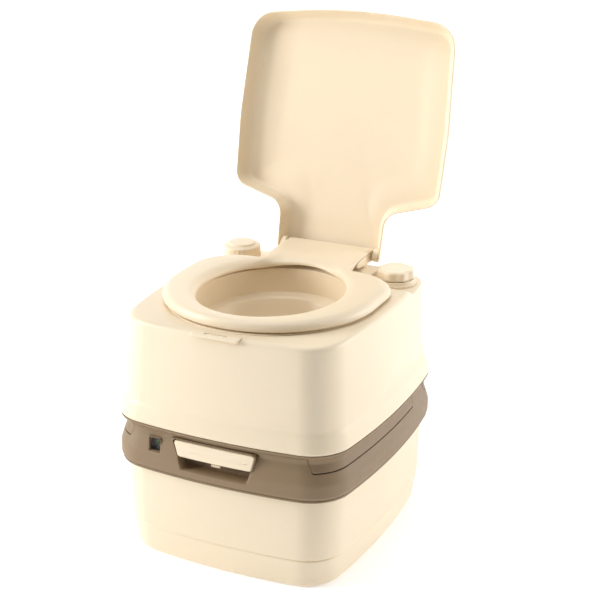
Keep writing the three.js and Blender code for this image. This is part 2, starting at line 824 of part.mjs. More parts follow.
// Bowl: turned, then stretched along the depth towards its rim and led forward to it.
const bowlRim = 1.2; // rim above the deck
const ledgeHeight = -38;
const outletTop = 262 - deckHeight;
const outletBottom = topPlateTop + sealRise + weldGap - deckHeight;
const bowlProfile = [
  [outletRadius, outletBottom],
  [outletRadius + outletWall, outletBottom],
  [outletRadius + outletWall, outletTop],
  [88, -70],
  [bowlHalfWidth - 3, ledgeHeight - 6],
  [bowlOuterWidth, ledgeHeight + 2],
  [bowlOuterWidth, bowlRim],
  [bowlHalfWidth, bowlRim],
  [bowlHalfWidth, ledgeHeight + 3],
  [bowlHalfWidth - 7, ledgeHeight],
  [83, -68],
  [outletRadius, outletTop],
  [outletRadius, outletBottom],
];
function bowlWarp(geometry) {
  const points = geometry.attributes.position;
  const stretch = bowlHalfDepth / bowlHalfWidth - 1;
  for (let i = 0; i < points.count; i += 1) {
    const z = points.getZ(i);
    const share = THREE.MathUtils.clamp((z - outletTop) / (ledgeHeight - outletTop), 0, 1);
    const middle = THREE.MathUtils.lerp(valvePlace.y, seatMiddle, share);
    const y = points.getY(i) * (1 + stretch * share) + middle;
    const tilt = Math.tan(deckTilt) * y * share;
    points.setXYZ(i, points.getX(i), y, z + deckHeight + tilt);
  }
  return geometry;
}
const bowlTurned = new THREE.LatheGeometry(
  bowlProfile.map(([radius, height]) => new THREE.Vector2(radius, height)),
  32,
);
bowlTurned.rotateX(Math.PI / 2);
const nozzleRise = -22;
const nozzleRadius = 7;
const nozzleGeometry = (radius, from, to) => {
  const geometry = new THREE.CylinderGeometry(radius, radius, to - from, pinSides);
  geometry.translate(0, (from + to) / 2, nozzleRise);
  geometry.applyMatrix4(deck.matrix);
  return solidOf(geometry);
};
const bowlRear = seatMiddle + bowlHalfDepth;
const bowl = solidOf(bowlWarp(bowlTurned)).subtract(
  nozzleGeometry(nozzleRadius + weldGap, bowlRear - 20, bowlRear + 20),
);
addPiece(flushSection, "bowl", bowl, cream);

// The raised ring that the seat closes on.
const ringMargin = 26;
const ringTop = 1.6;
const ringShape = ellipse(bowlHalfWidth + ringMargin + 14, bowlHalfDepth + ringMargin, seatMiddle);
ringShape.holes.push(
  new THREE.Path().absellipse(
    0,
    seatMiddle,
    bowlOuterWidth + bowlGap,
    bowlOuterDepth + bowlGap,
    0,
    2 * Math.PI,
    true,
  ),
);
addPiece(deck, "deck_ring", prism(ringShape, weldGap, ringTop, 16), cream);

// Flush nozzle in the rear of the bowl, and the hose that feeds it.
const nozzle = nozzleGeometry(nozzleRadius, bowlRear - 6, bowlRear + 14).add(
  nozzleGeometry(nozzleRadius + 4, bowlRear - 9, bowlRear - 5),
);
addPiece(flushSection, "flush_nozzle", nozzle, creamDark);
const hoseRadius = 6;
const hoseEnd = new THREE.Vector3(0, bowlRear + 14 + hoseRadius, nozzleRise).applyMatrix4(deck.matrix);
const hosePath = new THREE.CatmullRomCurve3([
  new THREE.Vector3(pumpPlace.x - neckRadius - 3, pumpPlace.y, 240),
  new THREE.Vector3(pumpPlace.x - neckRadius - 25, pumpPlace.y + 8, 238),
  new THREE.Vector3(45, 150, 262),
  new THREE.Vector3(10, 146, 300),
  new THREE.Vector3(0, 138, 325),
  new THREE.Vector3(0, hoseEnd.y + 4, hoseEnd.z - 6),
]);
const hose = new THREE.ExtrudeGeometry(
  new THREE.Shape().absarc(0, 0, hoseRadius, 0, 2 * Math.PI),
  { steps: 26, curveSegments: 4, extrudePath: hosePath },
);
addPiece(flushSection, "flush_hose", solidOf(hose), black);

// Filler: neck, gasket and screw cap.
const neckTop = 16;
const fill = new THREE.Group();
fill.position.set(fillPlace.x, fillPlace.y, -wellDepth);
deck.add(fill);
const flangeRadius = 32;
const flangeTop = 3;
const neckInner = neckRadius - neckWall;
const fillNeck = turned([
  [neckInner, -26],
  [neckRadius, -26],
  [neckRadius, weldGap],
  [flangeRadius, weldGap],
  [flangeRadius, flangeTop],
  [neckRadius, flangeTop],
  [neckRadius, neckTop],
  [neckInner, neckTop],
  [neckInner, -26],
]);
addPiece(fill, "fill_neck", fillNeck, cream);
const gasketTop = neckTop + 2.2;
addPiece(fill, "cap_gasket", ringSolid(neckRadius - 0.2, neckInner, neckTop + weldGap, gasketTop), black);
const capInner = neckRadius + 0.5;
const fillCap = turned([
  [capInner, flangeTop + 0.5],
  [fillCapRadius, flangeTop + 0.5],
  [fillCapRadius, fillCapHeight - 6],
  [fillCapRadius - 2, fillCapHeight - 4],
  [fillCapRadius - 7.5, fillCapHeight - 3],
  [fillCapRadius - 9.5, fillCapHeight - 0.5],
  [0, fillCapHeight],
  [0, gasketTop + weldGap],
  [capInner, gasketTop + weldGap],
  [capInner, flangeTop + 0.5],
]);
addPiece(fill, "fill_cap", fillCap, cream);

// Piston pump: barrel, collar nut, knob, rod, piston, seal and foot valve.
const pump = new THREE.Group();
pump.position.set(pumpPlace.x, pumpPlace.y, -wellDepth);
deck.add(pump);
const pumpBarrel = turned([
  [neckInner, -pumpDepth],
  [neckRadius, -pumpDepth],
  [neckRadius, weldGap],
  [flangeRadius, weldGap],
  [flangeRadius, flangeTop],
  [neckInner, flangeTop],
  [neckInner, -pumpDepth],
]);
addPiece(pump, "pump_barrel", pumpBarrel, creamDark);
const nutTop = 9;
const nutRadius = 30;
const nut = ringSolid(nutRadius, rodRadius + 0.4, flangeTop + weldGap, nutTop);
addPiece(pump, "pump_collar", nut, cream);
const knobBottom = nutTop + 0.8;
const knobTop = 24;
const knobShape = new THREE.Shape();
const lobeDepth = 1.6;
const knobSteps = 48;
for (let i = 0; i < knobSteps; i += 1) {
  const angle = (2 * Math.PI * i) / knobSteps;
  const reach = knobRadius - (lobeDepth * (1 - Math.cos(knobLobes * angle))) / 2;
  const place = [reach * Math.cos(angle), reach * Math.sin(angle)];
  if (i === 0) {
    knobShape.moveTo(...place);
  } else {
    knobShape.lineTo(...place);
  }
}
const knob = solidOf(
  new THREE.ExtrudeGeometry(knobShape, {
    depth: knobTop - knobBottom - 2,
    bevelThickness: 2,
    bevelSize: 2,
    bevelOffset: -2,
    bevelSegments: 2,
  }).translate(0, 0, knobBottom),
).intersect(post(knobRadius + 5, {}, knobBottom, knobTop));
addPiece(pump, "pump_knob", knob, cream);
const pistonHeight = 12;
const grooveDepth = 2.4;
const rodSolid = post(rodRadius, {}, -pistonTop + weldGap, knobBottom - weldGap);
addPiece(pump, "pump_rod", rodSolid, steel);
const pistonRadius = neckInner - 0.6;
const piston = turned([
  [0, -pistonTop - pistonHeight],
  [pistonRadius, -pistonTop - pistonHeight],
  [pistonRadius, -pistonTop - 8],
  [pistonRadius - grooveDepth, -pistonTop - 8],
  [pistonRadius - grooveDepth, -pistonTop - 4],
  [pistonRadius, -pistonTop - 4],
  [pistonRadius, -pistonTop],
  [0, -pistonTop],
]);
addPiece(pump, "pump_piston", piston, creamDark);
const pistonSeal = ringSolid(
  neckInner - 0.2,
  pistonRadius - grooveDepth + 0.2,
  -pistonTop - 7.7,
  -pistonTop - 4.3,
);
addPiece(pump, "piston_seal", pistonSeal, black);
addPiece(pump, "pump_foot_valve", post(neckInner - weldGap, {}, -pumpDepth + 2, -pumpDepth + 5), black);

// Front catch that the lid's tongue drops into.
const catchHalf = 37;
const catchFront = -206;
const tongueOuter = lidLength - 0.5; // hinge axis to the tongue's front face
const tongueThick = 2.5;
const tongueDrop = 2.4; // below the lid's lip
const tongueFront = hingePlace.y - tongueOuter;
const catchBlock = block([-catchHalf, catchFront, -12], [catchHalf, -191, 1], deck.matrix)
  .subtract(loft(casingSections, -weldGap))
  .subtract(
    block(
      [-tongueHalfWidth - 1.5, tongueFront - 1.5, -9],
      [tongueHalfWidth + 1.5, tongueFront + tongueThick + 1.5, 20],
      deck.matrix,
    ),
  );
addPiece(flushSection, "front_catch", catchBlock, cream);

// ---------------------------------------------------------------- hinge
const pinHole = (x0, x1) => shaft(hingePinRadius + runningGap, x0, x1, 0, 0);
const hinge = new THREE.Group();
hinge.position.set(0, hingePlace.y, hingePlace.z);
deck.add(hinge);
const bracketInner = 48;
const bracketOuter = 62;
const bracketFoot = -wellDepth - hingePlace.z + weldGap;
const bracketRound = 7;
for (const [sideName, side] of [["left", -1], ["right", 1]]) {
  const x0 = side > 0 ? bracketInner : -bracketOuter;
  const x1 = side > 0 ? bracketOuter : -bracketInner;
  const bracket = joined(
    shaft(bracketRound, x0, x1, 0, 0),
    block([x0, -bracketRound, bracketFoot], [x1, bracketRound, 0]),
  ).subtract(pinHole(-100, 100));
  addPiece(hinge, `hinge_bracket_${sideName}`, bracket, creamDark);
  const pinEnds = side > 0 ? [hingePinInner, hingePinOuter] : [-hingePinOuter, -hingePinInner];
  addPiece(hinge, `hinge_pin_${sideName}`, shaft(hingePinRadius, ...pinEnds, 0, 0), steel);
}

// ---------------------------------------------------------------- seat
const seat = new THREE.Group();
seat.position.copy(hinge.position);
deck.add(seat);
const seatUnder = seatRise - hingePlace.z;
const seatTop = seatUnder + seatThickness;
const seatShift = seatMiddle - hingePlace.y;
const seatRearCorner = 60;
const seatRear = 82 - hingePlace.y; // rear edge of the ring, beside the tab
const seatFrontReach = 152;
const tabFillet = 10;
const tabBreak = -45; // where the thick ring gives way to the thinner tab
const seatOutline = new THREE.Shape();
const rearCornerX = seatHalfWidth - seatRearCorner;
const rearCornerY = seatRear - seatRearCorner;
seatOutline.absellipse(0, seatShift, seatHalfWidth, seatFrontReach, Math.PI, 2 * Math.PI);
seatOutline.absarc(rearCornerX, rearCornerY, seatRearCorner, 0, Math.PI / 2);
seatOutline.lineTo(tabHalfWidth + tabFillet, seatRear);
seatOutline.quadraticCurveTo(tabHalfWidth, seatRear, tabHalfWidth, seatRear + tabFillet);
seatOutline.lineTo(tabHalfWidth, tabBreak);
seatOutline.lineTo(-tabHalfWidth, tabBreak);
seatOutline.lineTo(-tabHalfWidth, seatRear + tabFillet);
seatOutline.quadraticCurveTo(-tabHalfWidth, seatRear, -tabHalfWidth - tabFillet, seatRear);
seatOutline.absarc(-rearCornerX, rearCornerY, seatRearCorner, Math.PI / 2, Math.PI);
seatOutline.holes.push(
  new THREE.Path().absellipse(
    0,
    seatShift,
    seatHoleHalfWidth,
    seatHoleHalfDepth,
    0,
    2 * Math.PI,
    true,
  ),
);
const seatRing = new THREE.ExtrudeGeometry(seatOutline, {
  depth: seatThickness - 2 * seatEdge,
  bevelThickness: seatEdge,
  bevelSize: seatEdge,
  bevelOffset: -seatEdge,
  bevelSegments: 2,
  curveSegments: 9,
});
seatRing.translate(0, 0, seatUnder + seatEdge);
const tabEnd = 12;
const tabTop = 11.8;
const tabUnder = 8;
const tabPlate = sidePrism(
  [
    [tabBreak - 12, seatTop - 6],
    [tabBreak - 12, seatTop - 0.5],
    [tabBreak + 10, tabTop],
    [tabEnd, tabTop],
    [tabEnd, tabUnder],
    [tabBreak + 4, tabUnder],
    [tabBreak - 4, seatTop - 6],
  ],
  -tabHalfWidth,
  tabHalfWidth,
);
const cheekInner = 64;
const cheekOuter = 72;
const cheekRound = 9;
const cheeks = [[-cheekOuter, -cheekInner], [cheekInner, cheekOuter]].map(([x0, x1]) =>
  joined(
    shaft(cheekRound, x0, x1, 0, 0),
    sidePrism(
      [
        [tabBreak - 10, seatUnder + 4],
        [0, -cheekRound],
        [0, tabUnder + 1],
        [tabBreak - 10, seatTop - 2],
      ],
      x0,
      x1,
    ),
  ),
);
const seatSolid = joined(solidOf(seatRing), tabPlate, ...cheeks).subtract(pinHole(-100, 100));
addPiece(seat, "seat", seatSolid, cream);

const bufferRadius = 6;
const bufferPlaces = [
  [-128, seatShift + 30],
  [128, seatShift + 30],
  [-92, seatShift - 98],
  [92, seatShift - 98],
];
bufferPlaces.forEach(([x, y], index) => {
  const bottom = ringTop + weldGap - hingePlace.z;
  const pad = post(bufferRadius, { x, y }, bottom, seatUnder - weldGap, null, 16);
  addPiece(seat, `seat_buffer_${index + 1}`, pad, black);
});

// ---------------------------------------------------------------- lid
const lid = new THREE.Group(); // the tray is drawn closed, then swung open
lid.position.copy(hinge.position);
lid.rotation.x = -lidOpen;
deck.add(lid);
const lidLip = lidPanelRise - lidDepth;
const neckEnd = 7; // the neck runs this far past the hinge axis
const neckCurve = 25;
const shoulderTop = 83; // hinge axis to the shoulder
const shoulderCurve = 27;
const frontCornerDrop = 16;
const frontCornerRun = 38;
function lidOutline() {
  const shape = new THREE.Shape();
  const a = lidHalfWidth;
  const frontSide = -(lidLength - 48);
  shape.moveTo(-lidNeckHalfWidth, neckEnd);
  shape.lineTo(-lidNeckHalfWidth, -(shoulderTop - 10 - neckCurve));
  shape.quadraticCurveTo(
    -lidNeckHalfWidth,
    -(shoulderTop - 8),
    -lidNeckHalfWidth - neckCurve,
    -(shoulderTop - 6),
  );
  shape.lineTo(-a + shoulderCurve, -shoulderTop);
  shape.quadraticCurveTo(-a, -shoulderTop - 2, -a, -shoulderTop - shoulderCurve);
  shape.quadraticCurveTo(-a - 3, -lidLength / 2, -a + 5, frontSide);
  shape.quadraticCurveTo(-a + 8, -lidLength + frontCornerDrop, -a + frontCornerRun, -lidLength + 16);
  shape.quadraticCurveTo(0, -lidLength - 16, a - frontCornerRun, -lidLength + 16);
  shape.quadraticCurveTo(a - 8, -lidLength + frontCornerDrop, a - 5, frontSide);
  shape.quadraticCurveTo(a + 3, -lidLength / 2, a, -shoulderTop - shoulderCurve);
  shape.quadraticCurveTo(a, -shoulderTop - 2, a - shoulderCurve, -shoulderTop);
  shape.lineTo(lidNeckHalfWidth + neckCurve, -(shoulderTop - 6));
  shape.quadraticCurveTo(
    lidNeckHalfWidth,
    -(shoulderTop - 8),
    lidNeckHalfWidth,
    -(shoulderTop - 10 - neckCurve),
  );
  shape.lineTo(lidNeckHalfWidth, neckEnd);
  shape.closePath();
  return shape;
}
// A tray form with rounded sides: the outline at the lip, drawn in towards the panel.
function trayForm(height, draft, inset) {
  const geometry = new THREE.ExtrudeGeometry(lidOutline(), {
    depth: 0.2,
    bevelThickness: height - 0.1,
    bevelSize: draft,
    bevelOffset: -draft - inset,
    bevelSegments: 3,
    curveSegments: 5,
  });
  geometry.translate(0, 0, lidLip - 0.1);
  return solidOf(geometry);
}
const lidWall = 3;
const aboveLip = block([-far, -far - 100, lidLip], [far, far, far]);
const neckCheeks = [-1, 1].map((side) => {
  const inner = side * 75;
  const outer = side * (lidNeckHalfWidth - 3);
  const x0 = Math.min(inner, outer);
  const x1 = Math.max(inner, outer);
  return joined(
    shaft(8, x0, x1, 0, 0),
    block([x0, -34, lidLip], [x1, 0, 8]),
    block([x0, -34, 0], [x1, neckEnd - 1, lidPanelRise - 1]),
  ).intersect(trayForm(lidDepth + lidWall, lidDraft, 0.5).add(block([x0, -9, -9], [x1, 9, 4])));
});
const tray = trayForm(lidDepth + lidWall, lidDraft, 0)
  .subtract(trayForm(lidDepth, lidDraft - 1.5, lidWall))
  .intersect(aboveLip);
const tongue = block(
  [-tongueHalfWidth, -tongueOuter, lidLip - tongueDrop],
  [tongueHalfWidth, -tongueOuter + tongueThick, lidLip + 2],
);
const tabRoom = block([-tabHalfWidth - 1, -14, -20], [tabHalfWidth + 1, 30, lidPanelRise]);
const lidSolid = joined(tray, tongue, ...neckCheeks)
  .subtract(tabRoom)
  .subtract(pinHole(-100, 100));
addPiece(lid, "lid", lidSolid, cream);

export default toilet;
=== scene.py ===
"""The looks of a portable cassette toilet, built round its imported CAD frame.

The object stands on the floor with its seat down and its lid open, front towards -Y.
Profiles are listed in millimetres and turned into metres by in_mm.
"""

import json
import math

import bpy
import numpy as np
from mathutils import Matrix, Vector


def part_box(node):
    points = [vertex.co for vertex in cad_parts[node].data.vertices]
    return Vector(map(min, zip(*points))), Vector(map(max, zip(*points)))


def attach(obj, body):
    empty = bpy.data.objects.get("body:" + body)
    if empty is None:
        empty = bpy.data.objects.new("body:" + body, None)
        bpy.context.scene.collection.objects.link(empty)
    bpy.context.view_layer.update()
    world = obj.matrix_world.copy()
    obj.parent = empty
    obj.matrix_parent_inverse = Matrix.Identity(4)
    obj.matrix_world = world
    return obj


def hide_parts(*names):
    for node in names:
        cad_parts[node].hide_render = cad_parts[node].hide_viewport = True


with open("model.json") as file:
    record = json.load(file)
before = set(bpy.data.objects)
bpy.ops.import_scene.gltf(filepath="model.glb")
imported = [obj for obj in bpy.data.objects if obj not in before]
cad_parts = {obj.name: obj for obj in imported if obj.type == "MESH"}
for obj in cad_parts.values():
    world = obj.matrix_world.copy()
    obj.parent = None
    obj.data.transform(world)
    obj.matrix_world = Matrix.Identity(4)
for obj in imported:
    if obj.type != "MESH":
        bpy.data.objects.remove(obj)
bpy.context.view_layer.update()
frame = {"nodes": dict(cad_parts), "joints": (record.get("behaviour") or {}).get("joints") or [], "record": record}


# ---------------------------------------------------------------- waste tank
# The lower tank is a blow-moulded polyethylene box of about 21 litres. Its plan is a
# rectangle with four bowed sides. A faint step runs round it a little above the floor.
mm = 0.001
band_low, band_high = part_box("tank_top")
plan_half_width = band_high.x + 0.3 * mm
plan_half_depth = band_high.y + 0.3 * mm
front_bow = 18.8 * mm
side_bow = 19.6 * mm
plan_corner = 62.7 * mm
front_radius = (plan_half_width**2 + front_bow**2) / (2 * front_bow)
side_radius = (plan_half_depth**2 + side_bow**2) / (2 * side_bow)


def corner_centre():
    """The centre of the rear right corner arc, which touches the rear arc and the right arc
    from inside: it lies where two circles about their centres cross."""
    rear = np.array([0, plan_half_depth - front_radius])
    right = np.array([plan_half_width - side_radius, 0])
    between = right - rear
    span = np.hypot(*between)
    rear_reach = front_radius - plan_corner
    side_reach = side_radius - plan_corner
    along = (rear_reach**2 - side_reach**2 + span**2) / (2 * span)
    aside = math.sqrt(rear_reach**2 - along**2)
    unit = between / span
    across = np.array([-unit[1], unit[0]])
    both = [rear + unit * along + across * aside * side for side in (1, -1)]
    return max(both, key=sum)


corner_x, corner_y = corner_centre()
side_angle = math.atan2(corner_y, corner_x - (plan_half_width - side_radius))
rear_angle = math.atan2(corner_y - (plan_half_depth - front_radius), corner_x)
front_end = front_radius * math.cos(rear_angle)
side_end = side_radius * math.sin(side_angle)


def crowded(start, end, count, edges=(), reach=3 * mm):
    """Values spaced evenly from start to end, with nine more round each edge, closer and
    closer towards it, so that a rim or a step there stays crisp."""
    values = np.linspace(start, end, count)
    for edge in edges:
        inside = np.abs(values - edge) > reach
        inside[[0, -1]] = True
        values = values[inside]
    near = np.array([-1, -0.5, -0.22, -0.07, 0, 0.07, 0.22, 0.5, 1]) * reach
    values = np.concatenate([values] + [edge + near for edge in edges])
    return np.unique(values.round(7))


def plan_loop(front=(), rear=(), side=(), long=60, corner=22):
    """The bowed plan, anticlockwise from the front left corner: a front arc, a corner arc,
    the right arc and so on. front, rear and side list x or y values to crowd columns at."""
    turns = [rear_angle + (side_angle - rear_angle) * np.linspace(0, 1, corner + 2)[1:-1]]
    for edge in {abs(value) for value in (*front, *rear) if abs(value) > front_end}:
        middle = math.acos((edge - corner_x) / plan_corner)
        near = np.array([-3.2, -2, -1, -0.4, 0, 0.4, 1, 2, 3.2]) * mm
        turns.append(middle + near / (plan_corner * math.sin(middle)))
    low = np.unique(np.concatenate(turns).round(6))[::-1]
    high = low[::-1]
    front = [value for value in front if abs(value) < front_end]
    rear = [value for value in rear if abs(value) < front_end]
    front_x = crowded(-front_end, front_end, long, front)
    front_arc = (front_x, front_radius - plan_half_depth - np.sqrt(front_radius**2 - front_x**2))
    side_y = crowded(-side_end, side_end, long, side)
    side_arc = (plan_half_width - side_radius + np.sqrt(side_radius**2 - side_y**2), side_y)
    rear_x = crowded(-front_end, front_end, long, rear)[::-1]
    rear_arc = (rear_x, plan_half_depth - front_radius + np.sqrt(front_radius**2 - rear_x**2))
    arcs = [
        front_arc,
        (corner_x + plan_corner * np.cos(low), -corner_y - plan_corner * np.sin(low)),
        side_arc,
        (corner_x + plan_corner * np.cos(high), corner_y + plan_corner * np.sin(high)),
        rear_arc,
        (-corner_x - plan_corner * np.cos(low), corner_y + plan_corner * np.sin(low)),
        (-side_arc[0][::-1], side_arc[1][::-1]),
        (-corner_x - plan_corner * np.cos(high), -corner_y - plan_corner * np.sin(high)),
    ]
    return np.concatenate([np.stack(arc, 1) for arc in arcs])


def drawn_in(loop, inset, height):
    """The plan drawn in by an inset, at a height: x shrinks by inset over the half width,
    and y by nine tenths of that share along the depth."""
    inset = np.broadcast_to(inset, len(loop))
    x = loop[:, 0] * (1 - inset / plan_half_width)
    y = loop[:, 1] * (1 - 0.9 * inset / plan_half_depth)
    return np.stack([x, y, np.broadcast_to(height, len(loop))], 1)


def rounded(corners, closed=False, arc_points=9):
    """A line through (x, y, radius) corners. Each corner is an arc that starts
    radius / tan(half its inner angle) before it and ends as far after it."""
    places = np.array([corner[:2] for corner in corners], float)
    runs = []
    for index, (x, y, radius) in enumerate(corners):
        ends = not closed and index in (0, len(corners) - 1)
        if ends or radius == 0:
            runs.append([[x, y]])
            continue
        before = places[index - 1] - places[index]
        after = places[(index + 1) % len(places)] - places[index]
        before /= np.hypot(*before)
        after /= np.hypot(*after)
        half = math.acos(np.clip(before @ after, -1, 1)) / 2
        middle = (before + after) / np.hypot(*(before + after))
        centre = places[index] + middle * radius / math.sin(half)
        first = places[index] + before * radius / math.tan(half) - centre
        last = places[index] + after * radius / math.tan(half) - centre
        turn = math.pi - 2 * half
        share = np.linspace(0, 1, arc_points)[:, None]
        arc = np.sin((1 - share) * turn) * first + np.sin(share * turn) * last
        runs.append(centre + arc / math.sin(turn))
    return np.concatenate(runs)


def in_mm(*rows):
    """Rows of millimetres as tuples of metres."""
    return [tuple(value * mm for value in row) for row in rows]


def full_turn(count):
    """Angles evenly spaced round a circle."""
    return np.linspace(0, 2 * math.pi, count, endpoint=False)


def spaced(line, count, closed=False):
    """The same line with points evenly spaced along its length."""
    if closed:
        line = np.concatenate([line, line[:1]])
    length = np.concatenate([[0], np.cumsum(np.hypot(*np.diff(line, axis=0).T[:2]))])
    at = np.linspace(0, length[-1], count + 1)[:-1] if closed else np.linspace(0, length[-1], count)
    return np.stack([np.interp(at, length, column) for column in line.T], 1)


def skin(rings, start_pole=None, end_pole=None, closed_ring=True, closed_path=False):
    """One surface through rings of equal length: square faces between neighbours, and a fan
    of triangles to each pole. Rings run anticlockwise seen from outside as the path climbs."""
    rings = np.asarray(rings, float)
    count, around, _ = rings.shape
    points = rings.reshape(-1, 3)
    steps = np.arange(count if closed_path else count - 1)
    columns = np.arange(around if closed_ring else around - 1)
    row, column = np.meshgrid(steps, columns, indexing="ij")
    after = (column + 1) % around
    above = (row + 1) % count
    square = [row * around + column, row * around + after, above * around + after]
    faces = np.stack(square + [above * around + column], -1).reshape(-1, 4).tolist()
    nearby = (columns + 1) % around
    if start_pole is not None:
        pole = np.full(len(columns), len(points))
        points = np.concatenate([points, [start_pole]])
        faces += np.stack([pole, nearby, columns], 1).tolist()
    if end_pole is not None:
        pole = np.full(len(columns), len(points))
        points = np.concatenate([points, [end_pole]])
        last = (count - 1) * around
        faces += np.stack([pole, last + columns, last + nearby], 1).tolist()
    return points, faces


def piece(name, surface, coat, body, nodes=(), wall=0.0, crease=40):
    """A mesh object in the row frame, smooth except across creases, riding on its body."""
    points, faces = surface
    mesh = bpy.data.meshes.new(name)
    mesh.from_pydata(np.asarray(points), [], faces)
    mesh.update()
    mesh.shade_smooth()
    mesh.set_sharp_from_angle(angle=math.radians(crease))
    mesh.materials.append(coat)
    made = bpy.data.objects.new(name, mesh)
    bpy.context.scene.collection.objects.link(made)
    if wall:
        shell = made.modifiers.new("wall", "SOLIDIFY")
        shell.thickness = wall
        shell.offset = -1
        shell.use_even_offset = False
    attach(made, body)
    if nodes:
        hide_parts(*nodes)
    return made


def fill(node, **values):
    """Write plain values into a node's inputs; an underscore stands for a space."""
    for name, value in values.items():
        node.inputs[name.replace("_", " ")].default_value = value


def finish_of(name):
    """A new material with its nodes, its shader and a way to join two sockets."""
    coat = bpy.data.materials.new(name)
    coat.use_nodes = True
    tree = coat.node_tree
    return coat, tree.nodes, tree.nodes["Principled BSDF"], tree.links.new


def moulded(name, color, roughness=0.42, grain=0.25, drift=0.035, soft=0.0):
    """Moulded plastic: the colour drifts a little over the part, the roughness is mottled,
    and the bump is a fine spark-eroded grain over the slight waves of a moulded wall."""
    coat, nodes, shader, join = finish_of(name)
    fill(shader, IOR=1.49, Subsurface_Weight=soft, Subsurface_Scale=1.0)
    fill(shader, Subsurface_Radius=(0.006, 0.004, 0.002))
    place = nodes.new("ShaderNodeTexCoord").outputs["Object"]

    def noise(scale, detail, rough=0.55):
        made = nodes.new("ShaderNodeTexNoise")
        fill(made, Scale=scale, Detail=detail, Roughness=rough)
        join(place, made.inputs["Vector"])
        return made.outputs["Fac"]

    cloud = nodes.new("ShaderNodeMix")
    cloud.data_type = "RGBA"
    base = np.array(color)
    fill(cloud, A=(*(base * (1 - drift)), 1), B=(*np.minimum(base * (1 + drift), 1), 1))
    join(noise(9, 4), cloud.inputs["Factor"])
    join(cloud.outputs["Result"], shader.inputs["Base Color"])

    mottle = nodes.new("ShaderNodeMapRange")
    fill(mottle, From_Min=0.3, From_Max=0.7, To_Min=roughness - 0.05, To_Max=roughness + 0.06)
    join(noise(120, 3), mottle.inputs["Value"])
    join(mottle.outputs["Result"], shader.inputs["Roughness"])

    waves = nodes.new("ShaderNodeBump")
    fill(waves, Strength=0.12, Distance=0.0006)
    join(noise(16, 1), waves.inputs["Height"])
    fine = nodes.new("ShaderNodeBump")
    fill(fine, Strength=grain, Distance=0.00006)
    join(noise(2600, 2, 0.6), fine.inputs["Height"])
    join(waves.outputs["Normal"], fine.inputs["Normal"])
    join(fine.outputs["Normal"], shader.inputs["Normal"])
    return coat


cream = moulded("cream_plastic", (0.87, 0.735, 0.54), 0.40, soft=0.06)
tank_foot = 8 * mm  # roundness where the wall meets the floor
tank_top_edge = 157 * mm  # the visible wall ends inside the band
tank_wall = rounded(
    [(28 * mm, 0, 0), (19.0 * mm, 0, tank_foot), (13.4 * mm, 43.6 * mm, 1 * mm),
    (14.9 * mm, 45.6 * mm, 0.6 * mm), (12.6 * mm, 47 * mm, 1 * mm), (10 * mm, 145 * mm, 30 * mm),
    (10 * mm, tank_top_edge, 0)]
)
tank_wall = spaced(tank_wall, 200)
tank_inside = [(13 * mm, tank_top_edge), (16 * mm, 60 * mm), (24 * mm, 6 * mm), (60 * mm, 4 * mm)]
plan = plan_loop()
rings = [drawn_in(plan, inset, height) for inset, height in tank_wall]
rings += [drawn_in(plan, inset, height) for inset, height in tank_inside]
rings.insert(0, drawn_in(plan, 110 * mm, 0))
piece(
    "waste_tank_body", skin(rings, start_pole=(0, 0, 0), end_pole=(0, 0, 4 * mm)), cream,
    "waste_section", ["waste_tank"]
)


# ---------------------------------------------------------------- lower collar
# A taupe polypropylene ring is snapped round the tank's top and carries the valve, the
# level window, the spout and the rear latch. Its front rises between two slanted ends.
split = 184 * mm
end_wall = 0.15  # beyond this depth the plan is its front or rear wall
band_base = band_low.z
key_top = band_high.z
band_line = rounded(
    in_mm((5.5, 145, 0), (2.2, 145, 1.5), (0.2, 150, 5), (0.2, 168, 26), (9.0, 197.5, 7),
    (7.6, 203, 5), (1.2, 209.5, 3), (0.6, 212.7, 0)), arc_points=14
)
key_half = 145.5 * mm
key_slant = 3.5 * mm  # half the run of the slanted ends
lug_start = 92 * mm  # where the collar rises again along the side
lug_slant = 6 * mm
handle_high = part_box("valve_handle")[1]
pocket_half = handle_high.x + 1.2 * mm
pocket_low = 157 * mm
pocket_slope = 0.32  # how fast the pocket narrows downwards
pocket_high = handle_high.z + 1.5 * mm
window_low, window_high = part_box("level_window")
window_left = window_low.x + 0.6 * mm
window_right = window_high.x - 1.4 * mm
window_floor = 173.5 * mm
window_roof = 194.0 * mm
latch_low, latch_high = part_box("rear_latch")
latch_left = latch_low.x - 2 * mm
latch_right = latch_high.x + 2 * mm
bay_left = -157 * mm
bay_right = 9 * mm
bay_floor = 162 * mm
front_columns = [-key_half, window_left, window_right, -pocket_half, pocket_half, key_half]
rear_columns = [bay_left, bay_right, latch_left, latch_right]
collar_plan = plan_loop(front_columns, rear_columns, [lug_start], long=70, corner=26)


def ramp(value, start, end):
    """0 before start, 1 after end, and a straight line between."""
    return np.clip((value - start) / (end - start), 0, 1)


def smooth(value, start, end):
    """0 before start, 1 after end, with a soft S between."""
    share = ramp(value, start, end)
    return share * share * (3 - 2 * share)


def split_height(loop):
    """Where the two collars part, round the plan: low along the sides, and high across the
    front and round the rear corners, with slanted ends between."""
    x, y = np.abs(loop[:, 0]), loop[:, 1]
    front = (y < -0.1) * (1 - ramp(x, key_half - key_slant, key_half + key_slant))
    lug = (x > 0.1) * ramp(y, lug_start - lug_slant, lug_start + lug_slant)
    lug *= 1 - ramp(y, 150 * mm, 152 * mm)
    return split + (key_top - split) * np.maximum(front, lug)


def band_inset(height):
    """The band's hollow and beads: how far its face stands inside the plan at a height."""
    return np.interp(height, band_line[2:, 1], band_line[2:, 0])


